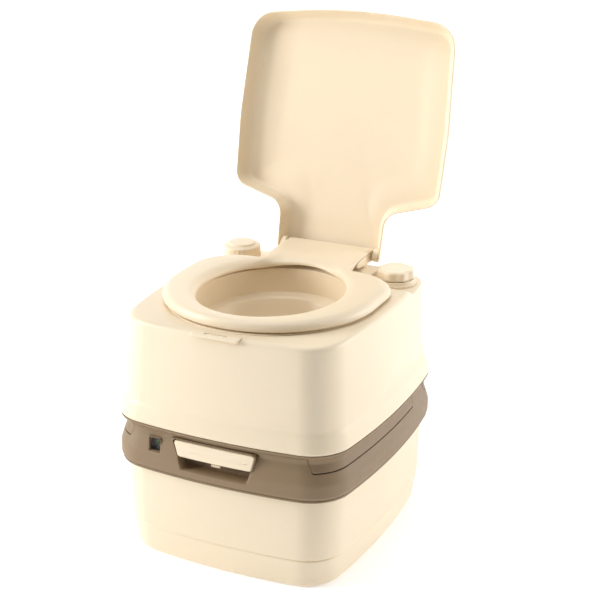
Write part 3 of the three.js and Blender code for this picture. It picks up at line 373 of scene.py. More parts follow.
def collar_heights(loop):
    """The lower collar's top edge: the split, cut down at the spout bay and at the latch."""
    x, y = loop[:, 0], loop[:, 1]
    top = split_height(loop)
    rear = y > end_wall
    bay = rear & (x > bay_left) & (x < bay_right)
    latch = rear & (x > latch_left) & (x < latch_right)
    top = np.where(bay, bay_floor, top)
    return np.where(latch, latch_low.z - 5 * mm, top)


def rim_round(x, z, left, right, low, high, radius=1.6 * mm):
    """How far a wall dips beside a rectangular hole: a quarter round of the given radius,
    from the distance to the hole's outline."""
    aside = np.maximum(np.maximum(left - x, x - right), np.maximum(low - z, z - high))
    near = np.clip(aside, 0, radius)
    return radius - np.sqrt(radius**2 - (radius - near) ** 2)


share = crowded(0, 1, 40, [(pocket_low - band_base) / (key_top - band_base)], 0.03)
share = np.unique(
    np.concatenate(
        [
            share,
            [(edge - band_base) / (key_top - band_base) for edge in (window_floor, window_roof)],
            (pocket_high + np.array([0, 0.2, 0.7, 1.6]) * mm - band_base) / (key_top - band_base),
        ]
    )
)
collar_top = collar_heights(collar_plan)
rings = []
for part in share:
    height = band_base + part * (collar_top - band_base)
    ring = drawn_in(collar_plan, band_inset(height), height)
    front = collar_plan[:, 1] < -end_wall
    dip = rim_round(ring[:, 0], height, -pocket_half, pocket_half, pocket_low, pocket_high)
    window = (window_left, window_right, window_floor, window_roof)
    dip += rim_round(ring[:, 0], height, *window, 1 * mm)
    ring[:, 1] += np.where(front, dip, 0)
    rings.append(ring)
rings.insert(0, drawn_in(collar_plan, 2.2 * mm, band_base))
plain, faces = skin(rings)


def pocket_shift(z):
    """How far the pocket's side edges stand in from its top corners at a height."""
    return pocket_slope * np.clip(pocket_high - z, 0, pocket_high - pocket_low)


def slanted(points):
    """The front wall's columns lean with the pocket's sides: x moves in by the pocket's
    shift, which fades out beside the pocket, and y follows the bow."""
    x, y, z = points.T
    fade = np.minimum(np.abs(x) / pocket_half, 1 - smooth(np.abs(x), pocket_half + 3 * mm, 82 * mm))
    moved = x - np.sign(x) * pocket_shift(z) * fade * (y < -end_wall)
    return np.stack([moved, y + (moved**2 - x**2) / (2 * front_radius), z], 1)


def without(points, faces, *holes):
    """The surface less the faces whose middle lies in a box-shaped hole."""
    middles = points[np.array(faces)].mean(1)
    kept = np.ones(len(faces), bool)
    for low, high in holes:
        kept &= ~((middles > np.array(low)) & (middles < np.array(high))).all(1)
    return points, [face for face, stays in zip(faces, kept) if stays]


taupe = moulded("band_plastic", (0.262, 0.178, 0.098), 0.5, grain=0.35)
kept = without(
    plain,
    faces,
    ((-pocket_half, -1, pocket_low), (pocket_half, -end_wall, pocket_high)),
    ((window_left, -1, window_floor), (window_right, -end_wall, window_roof)),
)[1]
piece(
    "lower_collar", (slanted(plain), kept), taupe, "waste_section", ["tank_top"],
    wall=3 * mm
)


# ---------------------------------------------------------------- pockets in the collar
# Behind the front wall a moulded pocket of polypropylene gives the fingers room below the
# handle. It is a thin tray with rounded inner corners, moulded in one with the collar.
def rounded_box_loop(half_x, half_z, radius, count=64):
    """A rectangle with round corners, evenly spaced, in the plane across the opening."""
    corners = [
        (-half_x, -half_z, radius),
        (half_x, -half_z, radius),
        (half_x, half_z, radius),
        (-half_x, half_z, radius),
    ]
    return spaced(rounded(corners, closed=True), count, closed=True)


def standing(loop, x, y, z):
    """A flat loop stood upright, square to the depth, at a place."""
    return np.stack([x + loop[:, 0], np.full(len(loop), y), z + loop[:, 1]], 1)


def pocket_tray(middle_x, middle_z, half_x, half_z, front, back, radius, mouth=0.4 * mm):
    """A recess open towards -Y: its walls run back from the mouth, turn through a fillet,
    and meet in the middle of the back wall."""
    levels = [(-mouth, front), (0.0, front + 1 * mm), (0.4 * mm, back - radius)]
    bend = np.linspace(0, math.pi / 2, 6)
    levels += [
        (0.4 * mm + radius * (1 - math.cos(angle)), back - radius + radius * math.sin(angle))
        for angle in bend
    ]
    rings = []
    for inset, depth in levels:
        loop = rounded_box_loop(half_x - inset, half_z - inset, max(radius - inset, 0.4 * mm))
        rings.append(standing(loop, middle_x, depth, middle_z)[::-1])
    return skin(rings, end_pole=(middle_x, back, middle_z))


pocket_back = band_low.y + 24.5 * mm
pocket_middle = (pocket_low + pocket_high) / 2
points, faces = pocket_tray(
    0, pocket_middle, pocket_half, (pocket_high - pocket_low) / 2, band_low.y + 3 * mm,
    pocket_back, 4 * mm
)
points[:, 0] *= 1 - pocket_shift(points[:, 2]) / pocket_half
piece("handle_pocket", (points, faces), taupe, "waste_section", wall=-1.5 * mm)


# ---------------------------------------------------------------- tank top plate
# The collar's own moulded deck closes the tank. The valve port is open in its middle,
# and a lowered bay at the rear left holds the spout.
port_place = Vector((0, 5 * mm, 180 * mm))
port_radius = 50 * mm
plate_plan = plan_loop((), [bay_left, bay_right], (), long=70)
bearing = np.arctan2(plate_plan[:, 1] - port_place.y, plate_plan[:, 0])
port_ring = np.stack(
    [port_radius * np.cos(bearing), port_place.y + port_radius * np.sin(bearing),
    np.full(len(bearing), port_place.z)], 1
)
plate_edge = drawn_in(plate_plan, 5 * mm, port_place.z)
rings = [plate_edge + share * (port_ring - plate_edge) for share in np.linspace(0, 1, 60)]
rings = np.array(rings)
aside = np.minimum(rings[..., 0] - bay_left, bay_right - rings[..., 0])
aside = np.minimum(aside, rings[..., 1] - 143 * mm)
rings[..., 2] -= (port_place.z - bay_floor) * smooth(aside, 0, 3 * mm)
flag_bay = (-122 * mm, -84 * mm, -172 * mm)  # left, right and rear of the flag's hollow
flag_bay_depth = 15 * mm
aside = np.minimum(rings[..., 0] - flag_bay[0], flag_bay[1] - rings[..., 0])
aside = np.minimum(aside, flag_bay[2] - rings[..., 1])
rings[..., 2] -= flag_bay_depth * smooth(aside, 0, 2 * mm)
piece("tank_top_plate", skin(rings), taupe, "waste_section", wall=2.5 * mm)


# ---------------------------------------------------------------- valve handle
# The slide valve is pulled by a cream trapezoid of polypropylene that fills the pocket's
# mouth. Its face follows the bow of the collar and its rim is rounded.
handle_top_half = handle_high.x - 0.3 * mm
handle_base_half = handle_top_half - 6.5 * mm
handle_base = 175.8 * mm
handle_rim = 1.7 * mm
handle_thick = 9 * mm
handle_face = -211.5 * mm


def handle_loop(inset, count=160):
    """The trapezoid with rounded corners, drawn in by an inset on every side."""
    corners = [
        (-handle_base_half + inset, handle_base + inset, 4 * mm),
        (handle_base_half - inset, handle_base + inset, 4 * mm),
        (handle_top_half - inset, handle_high.z - inset, 3.5 * mm),
        (-handle_top_half + inset, handle_high.z - inset, 3.5 * mm),
    ]
    return spaced(rounded(corners, closed=True), count, closed=True)


def handle_ring(inset, depth):
    """The loop at a depth behind the bowed face: y grows with x squared over two radii."""
    loop = handle_loop(inset)
    bow = loop[:, 0] ** 2 / (2 * front_radius)
    return np.stack([loop[:, 0], handle_face + bow + depth, loop[:, 1]], 1)


levels = in_mm((10, 0), (5, 0))
for turn in np.linspace(0, math.pi / 2, 8):
    levels.append((handle_rim * (1 - math.sin(turn)), handle_rim * (1 - math.cos(turn))))
levels += [(0, handle_thick - 1 * mm), (1 * mm, handle_thick), (8 * mm, handle_thick)]
rings = [handle_ring(inset, depth) for inset, depth in levels]
handle_middle = (handle_base + handle_high.z) / 2
piece(
    "valve_pull", skin(rings, start_pole=(0, handle_face, handle_middle),
    end_pole=(0, handle_face + handle_thick, handle_middle)), cream, "valve_body",
    ["valve_handle"]
)


# ---------------------------------------------------------------- deck frame
# Seat, lid, caps and pump stand square to the deck, which rises a little to the rear.
# Everything on it is worked out along and above the hinge axis, then turned with it.
joints = {joint["name"]: joint for joint in frame["joints"]}
hinge = np.array(joints["lid_hinge"]["pos_m"])
deck_normal = np.array(joints["pump_stroke"]["axis"])
deck_tilt = math.atan2(-deck_normal[1], deck_normal[2])
hinge_rise = 10.2 * mm


def deck_height(y):
    """The deck plane's height at a depth: it passes hinge_rise under the hinge axis."""
    return hinge[2] - hinge_rise / math.cos(deck_tilt) + (y - hinge[1]) * math.tan(deck_tilt)


def turned_about_hinge(points, angle):
    """Points given as (x, away from the hinge, above it), turned about the hinge axis."""
    y = points[..., 1] * math.cos(angle) - points[..., 2] * math.sin(angle)
    z = points[..., 1] * math.sin(angle) + points[..., 2] * math.cos(angle)
    return np.stack([points[..., 0], y + hinge[1], z + hinge[2]], -1)


# ---------------------------------------------------------------- flush tank casing
# The upper casing is one blow-moulded shell: a skirt flares over the band, the wall leans
# in to a rounded deck edge, and the deck sinks at the rear for hinge, cap and pump.
well_depth = 12 * mm
well_front = 150 * mm
plateau_half = 95 * mm
corner_well_front = 103 * mm
well_step = 2.4 * mm
ring_edge = (117.8 * mm, 132.2 * mm)  # half width and half depth of the hole for the bowl
seat_middle = -29 * mm
skirt_line = rounded(
    in_mm((4.2, 213.3, 0), (0.2, 213.2, 0.9), (0.6, 218, 6), (5.4, 237, 9), (8.2, 242.6, 5),
    (11.0, 284, 0))
)
deck_line = rounded(in_mm((11.6, -67, 0), (16.2, 0, 5.5), (30, 0, 0)), arc_points=14)
side_columns = [corner_well_front]
casing_plan = plan_loop((), (), side_columns, long=62, corner=30)


def well_depth_at(x, y):
    """How far the deck is sunk: the full depth behind the trough's front and in the rear
    corners, with a soft step along the plateau and a short slope down from the front."""
    corner = smooth(np.abs(x) - plateau_half, 0, well_step)
    corner = corner * smooth(y, corner_well_front - 28 * mm, corner_well_front)
    return np.maximum(corner, smooth(y - well_front, 0, well_step))


def sunk(points):
    """Points above the well's floor come down to it, softly, where the well is."""
    floor = deck_height(points[..., 1]) - well_depth
    above = points[..., 2] - floor
    soft = 0.7 * mm
    drop = soft * np.logaddexp(0, above / soft)
    points[..., 2] -= drop * well_depth_at(points[..., 0], points[..., 1])
    return points


step_line = rounded(in_mm((-46, 240, 0), (45, 306, 45), (200, 314, 0)))


def side_step(points):
    """A shallow step on each side wall: below and behind a line that climbs from the skirt
    and levels out towards the rear, the wall stands a little further in."""
    y, z = points[..., 1], points[..., 2]
    edge = np.interp(y, step_line[:, 0], step_line[:, 1])
    below = smooth(edge - z, -0.8 * mm, 1.6 * mm)
    along = smooth(y, -46 * mm, -20 * mm) * (1 - smooth(y, 150 * mm, 185 * mm))
    above_skirt = smooth(z, 243 * mm, 249 * mm)
    depth = 1.5 * mm * below * along * above_skirt
    points[..., 0] -= np.sign(points[..., 0]) * depth * (np.abs(points[..., 0]) > 0.12)
    return points


skirt_line = spaced(skirt_line, 30)
rings = [drawn_in(casing_plan, inset, height) for inset, height in skirt_line]
first_tilted = spaced(deck_line, 24)
for inset, drop in first_tilted[1:]:
    ring = drawn_in(casing_plan, inset, 0)
    ring[:, 2] = deck_height(ring[:, 1]) + drop
    rings.append(ring)
refined = []
for before, after in zip(rings[:-1], rings[1:]):
    gap = np.abs(after[:, 2] - before[:, 2]).max()
    parts = max(1, int(gap / (4 * mm)))
    refined += [before + (after - before) * part / parts for part in range(parts)]
refined.append(rings[-1])
edge_ring = refined[-1]
bearing = np.arctan2((edge_ring[:, 1] - seat_middle) / ring_edge[1], edge_ring[:, 0] / ring_edge[0])
hole_x = ring_edge[0] * np.cos(bearing)
hole_y = seat_middle + ring_edge[1] * np.sin(bearing)
hole_ring = np.stack([hole_x, hole_y, deck_height(hole_y)], 1)
refined += [edge_ring + (hole_ring - edge_ring) * share for share in np.linspace(0, 1, 40)[1:]]
rings = side_step(sunk(np.array(refined)))
piece(
    "flush_casing", skin(rings), cream, "flush_section", ["upper_casing"],
    wall=2.6 * mm, crease=50
)


# ---------------------------------------------------------------- upper collar
# The taupe ring under the casing is the upper half of the band. Its bead meets the
# casing's lip, and it is cut away over the lower collar's raised stretches.
collar_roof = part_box("upper_collar")[1].z
split_gap = 1.6 * mm
upper_plan = plan_loop(front_columns, rear_columns, [lug_start], long=70, corner=26)
upper_base = split_height(upper_plan) + split_gap
x, y = upper_plan.T
rear_bay = (y > end_wall) & (x > bay_left) & (x < bay_right)
upper_base = np.where(rear_bay, 207.5 * mm, upper_base)
rings = []
for part in np.linspace(0, 1, 26):
    height = upper_base + part * (collar_roof - upper_base)
    rings.append(drawn_in(upper_plan, band_inset(height), height))
latch_slot = (
    (latch_left, end_wall, latch_high.z - 5 * mm), (latch_right, 1, latch_high.z + 2 * mm)
)
rings.append(drawn_in(upper_plan, 9 * mm, collar_roof))
piece(
    "upper_collar_ring", without(*skin(rings), latch_slot), taupe, "flush_section",
    ["upper_collar"], wall=2.4 * mm
)


# ---------------------------------------------------------------- deck ring
# A low oval ring of polyethylene is welded round the bowl's mouth. It trims the joint, and
# the seat's buffers rest on it.
plinth = (153 * mm, 152 * mm)
plinth_top = 1.8 * mm


def oval(half_width, half_depth, rise, middle=seat_middle, count=160):
    """An ellipse lying in a plane parallel to the deck, at a height above it."""
    angle = full_turn(count)
    y = middle + half_depth * np.sin(angle)
    return np.stack([half_width * np.cos(angle), y, deck_height(y) + rise], 1)


levels = [(0, 0.2 * mm), (0, plinth_top * 0.5), (0.8 * mm, plinth_top * 0.9), (2 * mm, plinth_top)]
rings = [oval(plinth[0] - inset, plinth[1] - inset, rise) for inset, rise in levels]
rings.append(oval(ring_edge[0] + 1.5 * mm, ring_edge[1] + 1.5 * mm, plinth_top))
rings.append(oval(*ring_edge, plinth_top - 1 * mm))
rings.append(oval(*ring_edge, 0.2 * mm))
piece(
    "bowl_surround", skin(rings, closed_path=True), cream, "flush_section",
    ["deck_ring"]
)


# ---------------------------------------------------------------- bowl
# The bowl is injection moulded: a straight wall below the seat, a ledge where the flush
# water spreads, and a cone that leads down to a round outlet over the slide valve.
mouth = (114 * mm, 128 * mm)
throat_line = rounded(
    in_mm((46, 183.9, 0), (46.5, 262, 14), (84, 303, 20), (101, 326, 5), (112.8, 329.5, 1.2),
    (114, 367.5, 0)), arc_points=12
)
ledge = 329 * mm
cone_top = 262 * mm
bowl_top = 367.5 * mm


def bowl_ring(radius, height, count=144):
    """A circle at the outlet that grows into an ellipse at the rim: its depth stretches and
    its middle moves forward with the height, and above the ledge it tips with the deck."""
    share = np.clip((height - cone_top) / (ledge - cone_top), 0, 1)
    middle = port_place.y + (seat_middle - port_place.y) * share
    angle = full_turn(count)
    y = middle + radius * (1 + (mouth[1] / mouth[0] - 1) * share) * np.sin(angle)
    z = height + math.tan(deck_tilt) * y * share
    return np.stack([radius * np.cos(angle), y, z], 1)


inner = [bowl_ring(radius, height) for radius, height in spaced(throat_line, 70)]
lip = []
for turn in np.linspace(0, math.pi, 9)[1:-1]:
    radius = 115.2 * mm - 1.2 * mm * math.cos(turn)
    lip.append(bowl_ring(radius, bowl_top + 1.0 * mm * math.sin(turn)))
outer_line = in_mm((117, 366), (117, 331), (109, 322), (88, 296))
outer_line += in_mm((49, 256), (49, 184.2))
outer = [bowl_ring(radius, height) for radius, height in outer_line]
points, faces = skin(np.array(inner + lip + outer)[::-1], closed_path=True)
bowl_coat = moulded("bowl_plastic", (0.86, 0.72, 0.52), 0.36, grain=0.1, drift=0.02)
piece("toilet_bowl", (points, faces), bowl_coat, "flush_section", ["bowl"])


# ---------------------------------------------------------------- seat
# The seat is a hollow moulded ring with a crowned top. A flat tab behind it runs back
# between the lid's cheeks to the hinge, and barrels at its corners turn on steel pins.
seat_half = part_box("seat")[1].x
seat_front = 152 * mm
seat_hole = (106.5 * mm, 122.5 * mm)
seat_shift = seat_middle - hinge[1]
seat_rear = 82 * mm - hinge[1]
seat_corner = 60 * mm
tab_half = 73 * mm
tab_end = 12 * mm
seat_under = -5.7 * mm
seat_crown = 8.6 * mm
half_turn = np.linspace(math.pi, 2 * math.pi, 90)
front_half = np.stack(
    [seat_half * np.cos(half_turn), seat_shift + seat_front * np.sin(half_turn)], 1
)
rear_run = rounded(
    [(seat_half, seat_shift + 1 * mm, 0), (seat_half, seat_rear, seat_corner),
    (tab_half, seat_rear, 9 * mm), (tab_half, tab_end, 5 * mm), (0, tab_end, 0),
    (-tab_half, tab_end, 5 * mm), (-tab_half, seat_rear, 9 * mm),
    (-seat_half, seat_rear, seat_corner), (-seat_half, seat_shift + 1 * mm, 0)], arc_points=16
)
seat_outline = spaced(np.concatenate([front_half, rear_run[1:-1]]), 560, closed=True)
bearing = np.arctan2(
    (seat_outline[:, 1] - seat_shift) / seat_hole[1], seat_outline[:, 0] / seat_hole[0]
)
seat_opening = np.stack(
    [seat_hole[0] * np.cos(bearing), seat_shift + seat_hole[1] * np.sin(bearing)], 1
)


def inward(loop, distance):
    """The loop moved towards its inside, square to its own run."""
    run = np.roll(loop, -1, 0) - np.roll(loop, 1, 0)
    run /= np.hypot(run[:, 0], run[:, 1])[:, None]
    return loop + np.stack([-run[:, 1], run[:, 0]], 1) * distance


def seat_tab(y):
    """0 on the ring and 1 on the tab, changing over softly behind the opening."""
    return smooth(y, seat_rear - 8 * mm, seat_rear + 48 * mm)


def seat_ring_at(outer_inset, share, height):
    """The outer outline, drawn in, moved a share of the way to the opening, at a height
    that turns into the tab's thinner plate towards the hinge."""
    ring = inward(seat_outline, outer_inset)
    ring = ring + share * (seat_opening - ring)
    y = ring[:, 1]
    tab = seat_tab(y) * (np.abs(ring[:, 0]) < tab_half + 2 * mm)
    middle = (seat_under + seat_crown) / 2
    tab_middle = 9.9 * mm
    tab_share = 3.8 * mm / (seat_crown - seat_under)
    thin = 1 - tab + tab * tab_share
    level = middle + (tab_middle - middle) * tab + (height - middle) * thin
    return np.stack([ring[:, 0], y, level], 1)


lower_round = 1.5 * mm
round_share = 0.30  # the crowned top starts this share of the way in
fall_share = 0.66  # and falls towards the opening from this one
levels = []
for angle in np.linspace(-math.pi / 2, 0, 7):
    rise = seat_under + lower_round * (1 + math.sin(angle))
    levels.append((lower_round * (1 - math.cos(angle)) + 0.6 * mm, 0.0, rise))
shoulder = seat_under + 3 * mm
for angle in np.linspace(0, math.pi / 2, 16)[1:]:
    share = round_share * (1 - math.cos(angle))
    rise = shoulder + (seat_crown - shoulder) * math.sin(angle)
    levels.append((0.6 * mm * (1 - math.sin(angle)), share, rise))
for share in np.linspace(round_share, fall_share, 9)[1:]:
    over = math.sin((share - round_share) / 0.36 * math.pi)
    levels.append((0, share, seat_crown + 0.4 * mm * over))
for angle in np.linspace(0, math.pi / 2, 15)[1:]:
    share = fall_share + 0.34 * math.sin(angle)
    levels.append((0, share, seat_crown - 9.5 * mm * (1 - math.cos(angle))))
for share, rise in ((1.0, 2 * mm), (0.97, 0.6 * mm), (0.93, 0)):
    levels.append((0, share, seat_under + rise))
rings = np.array([seat_ring_at(*level) for level in levels])
seat_surface = skin(turned_about_hinge(rings, deck_tilt), closed_path=True)
piece("seat_ring", seat_surface, cream, "seat_body", ["seat"], crease=60)


# ---------------------------------------------------------------- seat hinge barrels
# Two short barrels stand at the tab's rear corners, moulded in one with the seat. Each has
# a web down to the tab and turns on a steel pin.
def barrel(name, left, right, radius, body, web_reach, web_top, angle, count=40):
    """A drum about the hinge axis with rounded rims: its radius eases in at both ends. A
    share of its rim is drawn out along the tab to make the web."""
    edge = 1.2 * mm
    along = [left, left, left + edge, right - edge, right, right]
    size = [radius * 0.45, radius - edge, radius, radius, radius - edge, radius * 0.45]
    turn = full_turn(count)
    rings = []
    for x, reach in zip(along, size):
        y = reach * np.cos(turn)
        z = reach * np.sin(turn)
        back = smooth(-y, 0.2 * radius, radius)
        y = y - back * web_reach
        z = z * (1 - back) + back * np.clip(z, -radius, web_top)
        rings.append(np.stack([np.full(count, x), y, z], 1))
    rings = turned_about_hinge(np.array(rings), angle)
    ends = [(left, 0, 0), (right, 0, 0)]
    poles = [turned_about_hinge(np.array(end), angle) for end in ends]
    return piece(
        name, skin(rings, start_pole=poles[0], end_pole=poles[1]), cream, body
    )


for side, left, right in (("left", -72 * mm, -64 * mm), ("right", 64 * mm, 72 * mm)):
    barrel(f"seat_barrel_{side}", left, right, 9 * mm, "seat_body", 46 * mm, 6 * mm, deck_tilt)


# ---------------------------------------------------------------- lid
# The lid is a shallow injection-moulded tray. Its neck narrows between the filler cap
# and the pump and ends in two cheeks on the hinge. It leans back when it is open.
lid_angle = deck_tilt - math.radians(104.5)
lid_lip = -8.6 * mm
lid_panel = 17.4 * mm
lid_thick = 3 * mm
neck_half = 88 * mm
neck_end = 7 * mm
lid_right = [
    (neck_half, neck_end, 5 * mm),
    (neck_half + 2 * mm, -66 * mm, 26 * mm),
    (174 * mm, -90 * mm, 26 * mm),
    (177.5 * mm, -200 * mm, 420 * mm),
    (170.5 * mm, -361 * mm, 42 * mm),
    (0, -378 * mm, 900 * mm),
]
lid_left = [(-x, y, radius) for x, y, radius in lid_right[-2::-1]]
lid_outline = spaced(rounded(lid_right + lid_left, closed=True, arc_points=20), 620, closed=True)
lid_outline = lid_outline[::-1]


def lid_crown(x, y):
    """The panel bulges outwards by a few millimetres, most in its middle."""
    over_x = np.clip(1 - (x / (165 * mm)) ** 2, 0, 1)
    over_y = np.clip(1 - ((y + 215 * mm) / (165 * mm)) ** 2, 0, 1)
    return 6 * mm * over_x * over_y


def neck_free(loop):
    """0 along the neck's rear edge, where the seat's tab passes under, and 1 elsewhere."""
    x, y = np.abs(loop[:, 0]), loop[:, 1]
    return 1 - (1 - smooth(x, 74 * mm, 78 * mm)) * smooth(y, -6 * mm, 3 * mm)


def lid_ring(inset, height):
    """The outline drawn in, at a height that follows the wall down to the lip, except at
    the neck's open end, where the wall stays just under the panel."""
    ring = inward(lid_outline, inset)
    at_neck = lid_outline[:, 1] > -40 * mm
    side = neck_half + 2 * mm * ramp(-ring[:, 1], -neck_end, 66 * mm) - inset
    ring[:, 0] = np.where(at_neck, np.clip(ring[:, 0], -side, side), ring[:, 0])
    ring[:, 1] = np.where(at_neck, np.minimum(ring[:, 1], neck_end - inset), ring[:, 1])
    below = min(height - lid_panel, 0)
    level = height + below * (neck_free(lid_outline) - 1)
    return np.stack([ring[:, 0], ring[:, 1], level], 1)


outside = rounded(
    [(0.0, lid_lip, 0), (1.2 * mm, -1 * mm, 20 * mm), (5 * mm, 12 * mm, 16 * mm),
    (13 * mm, lid_panel + lid_thick, 11 * mm), (24 * mm, lid_panel + lid_thick, 0)]
)
inside = rounded(
    [(2.4 * mm, lid_lip, 0), (5 * mm, 2 * mm, 20 * mm), (10.5 * mm, lid_panel, 9 * mm),
    (24 * mm, lid_panel, 0)]
)
outer_rings = [lid_ring(inset, height) for inset, height in spaced(outside, 26)]
inner_rings = [lid_ring(inset, height) for inset, height in spaced(inside, 24)]
lip_rings = [lid_ring(0.5 * mm, lid_lip - 0.7 * mm), lid_ring(1.2 * mm, lid_lip - 1.0 * mm)]
lip_rings += [lid_ring(1.9 * mm, lid_lip - 0.7 * mm)]
lid_middle = np.array([0, -212 * mm])


def towards_middle(ring, count=26):
    """Rings that shrink from the panel's edge to its middle and take on its crown."""
    made = []
    for share in np.linspace(0, 1, count)[1:-1]:
        flat = ring[:, :2] + share * (lid_middle - ring[:, :2])
        lift = lid_crown(flat[:, 0], flat[:, 1]) * smooth(share, 0, 0.25)
        made.append(np.stack([flat[:, 0], flat[:, 1], ring[:, 2] + lift], 1))
    return made


inner_panel = towards_middle(inner_rings[-1])
outer_panel = towards_middle(outer_rings[-1])
rings = inner_panel[::-1] + inner_rings[::-1] + lip_rings[::-1] + outer_rings + outer_panel
poles = [(*lid_middle, lid_panel + 6 * mm), (*lid_middle, lid_panel + lid_thick + 6 * mm)]
poles = [turned_about_hinge(np.array(pole), lid_angle) for pole in poles]
rings = turned_about_hinge(np.array(rings), lid_angle)
piece(
    "lid_tray", skin(rings, start_pole=poles[0], end_pole=poles[1]), cream, "lid_body",
    ["lid"], crease=60
)
for side, left, right in (("left", -85 * mm, -75 * mm), ("right", 75 * mm, 85 * mm)):
    barrel(f"lid_cheek_{side}", left, right, 8 * mm, "lid_body", 5 * mm, 7 * mm, lid_angle)


# ---------------------------------------------------------------- lid tongue
# A thin tongue under the lid's front edge is moulded in one with it, and drops into the
# catch on the deck.
tongue_half = 16 * mm


def rounded_bar(low, high, radius, count=48):
    """A flat bar with rounded corners and edges, about the hinge: its plan is a rounded
    rectangle, drawn in at the bottom and the top by a small quarter round."""
    middle = (np.array(low) + np.array(high)) / 2
    half = (np.array(high) - np.array(low)) / 2
    levels = [(radius, -half[2]), (radius * 0.3, -half[2] + radius * 0.3)]
    levels += [(0, -half[2] + radius), (0, half[2] - radius)]
    levels += [(radius * 0.3, half[2] - radius * 0.3), (radius, half[2])]
    rings = []
    for inset, rise in levels:
        corner = half[1] * 0.6 - inset * 0.5
        x, y = rounded_box_loop(half[0] - inset, half[1] - inset, corner, count).T
        rings.append(np.stack([x, y, np.full(count, rise)], 1) + middle)
    poles = [middle - [0, 0, half[2]], middle + [0, 0, half[2]]]
    return np.array(rings), poles


rings, poles = rounded_bar(
    (-tongue_half, -373.4 * mm, lid_lip - 2.3 * mm), (tongue_half, -371.0 * mm, lid_lip + 3 * mm),
    0.5 * mm
)
piece(
    "lid_tongue", skin(turned_about_hinge(rings, lid_angle),
    start_pole=turned_about_hinge(poles[0], lid_angle),
    end_pole=turned_about_hinge(poles[1], lid_angle)), cream, "lid_body"
)


# ---------------------------------------------------------------- filler cap
# The filler's screw cap is moulded polypropylene with a fluted skirt and a raised flat
# disc on a low shoulder. It screws down on a neck that is welded into the deck.
def deck_turned(name, place, line, coat, body, nodes=(), flutes=0, flute_depth=0.0, count=96,
                flute_low=0.0, flute_high=1.0):
    """A body turned about an axis square to the deck, from a (radius, height) line that
    starts and ends on the axis. Flutes draw the radius in by a cosine between two heights."""
    angle = full_turn(count)
    rings = []
    for radius, height in line:
        wave = 0.0
        if flutes:
            band = smooth(height, flute_low - 0.8 * mm, flute_low + 0.4 * mm)
            band *= 1 - smooth(height, flute_high - 0.8 * mm, flute_high + 0.8 * mm)
            wave = flute_depth * band * 0.5 * (1 - np.cos(flutes * angle))
        rings.append([(radius - wave) * np.cos(angle), (radius - wave) * np.sin(angle)])
    rings = np.array(rings)
    heights = np.array(line)[:, 1][:, None]
    across = rings[:, 1] * math.cos(deck_tilt) - heights * math.sin(deck_tilt)
    rise = rings[:, 1] * math.sin(deck_tilt) + heights * math.cos(deck_tilt)
    points = np.stack([rings[:, 0], across, rise], -1) + np.array(place)
    poles = [np.array(place) + deck_normal * line[end][1] for end in (0, -1)]
    return piece(
        name, skin(points[1:-1], start_pole=poles[0], end_pole=poles[1]), coat, body, nodes,
        crease=45
    )


cap_place = np.array(joints["cap_turn"]["pos_m"])
neck_line = rounded(
    in_mm((0, -26, 0), (20, -26, 0.5), (20, 0.3, 0.2), (32, 0.3, 0.3), (32, 3, 1.2), (20, 3, 0.4),
    (20, 16, 0.8), (17, 16, 0.8), (17, -24, 1), (0, -24, 0)), arc_points=5
)
deck_turned("filler_neck", cap_place, neck_line, cream, "flush_section", ["fill_neck"])
cap_line = rounded(
    in_mm((0, 18.6, 0), (20.6, 18.6, 0.5), (20.6, 3.6, 0.4), (29.8, 3.6, 0.8), (29.6, 24.4, 2.4),
    (22.6, 26.6, 1.2), (20.8, 29.4, 1.6), (8, 30.0, 10), (0, 30.1, 0)), arc_points=7
)
deck_turned(
    "filler_cap", cap_place, cap_line, cream, "fill_cap_body", ["fill_cap"], flutes=24,
    flute_depth=0.9 * mm, count=240, flute_low=4 * mm, flute_high=22.5 * mm
)


# ---------------------------------------------------------------- pump
# The piston pump's knob is a lobed grip. It stands on a stepped collar nut that holds
# the barrel in the sunken rear corner, and is pulled up and pushed down to flush.
pump_low, pump_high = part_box("pump_knob")
pump_place = np.array(
    [(pump_low.x + pump_high.x) / 2, cap_place[1] - 2 * mm,
    cap_place[2] - 2 * mm * math.tan(deck_tilt)]
)
nut_line = rounded(
    in_mm((0, -2, 0), (19.5, -2, 0.3), (19.5, 0.4, 0.2), (31.8, 0.4, 0.5), (31.8, 3.6, 1.0),
    (29.6, 4.2, 0.4), (29.4, 8.6, 1.2), (12, 9.0, 1), (0, 9.0, 0)), arc_points=5
)
deck_turned("pump_nut", pump_place, nut_line, cream, "flush_section", ["pump_collar"])
knob_line = rounded(
    in_mm((0, 9.9, 0), (27.4, 9.9, 1.0), (29.4, 11.4, 1.0), (29.0, 22.4, 2.2), (24.0, 24.0, 3.0),
    (20.0, 23.0, 2.0), (0, 22.8, 0)), arc_points=7
)
deck_turned(
    "pump_grip", pump_place, knob_line, cream, "pump_body", ["pump_knob"], flutes=8,
    flute_depth=2.6 * mm, count=240, flute_low=10.4 * mm, flute_high=24 * mm
)


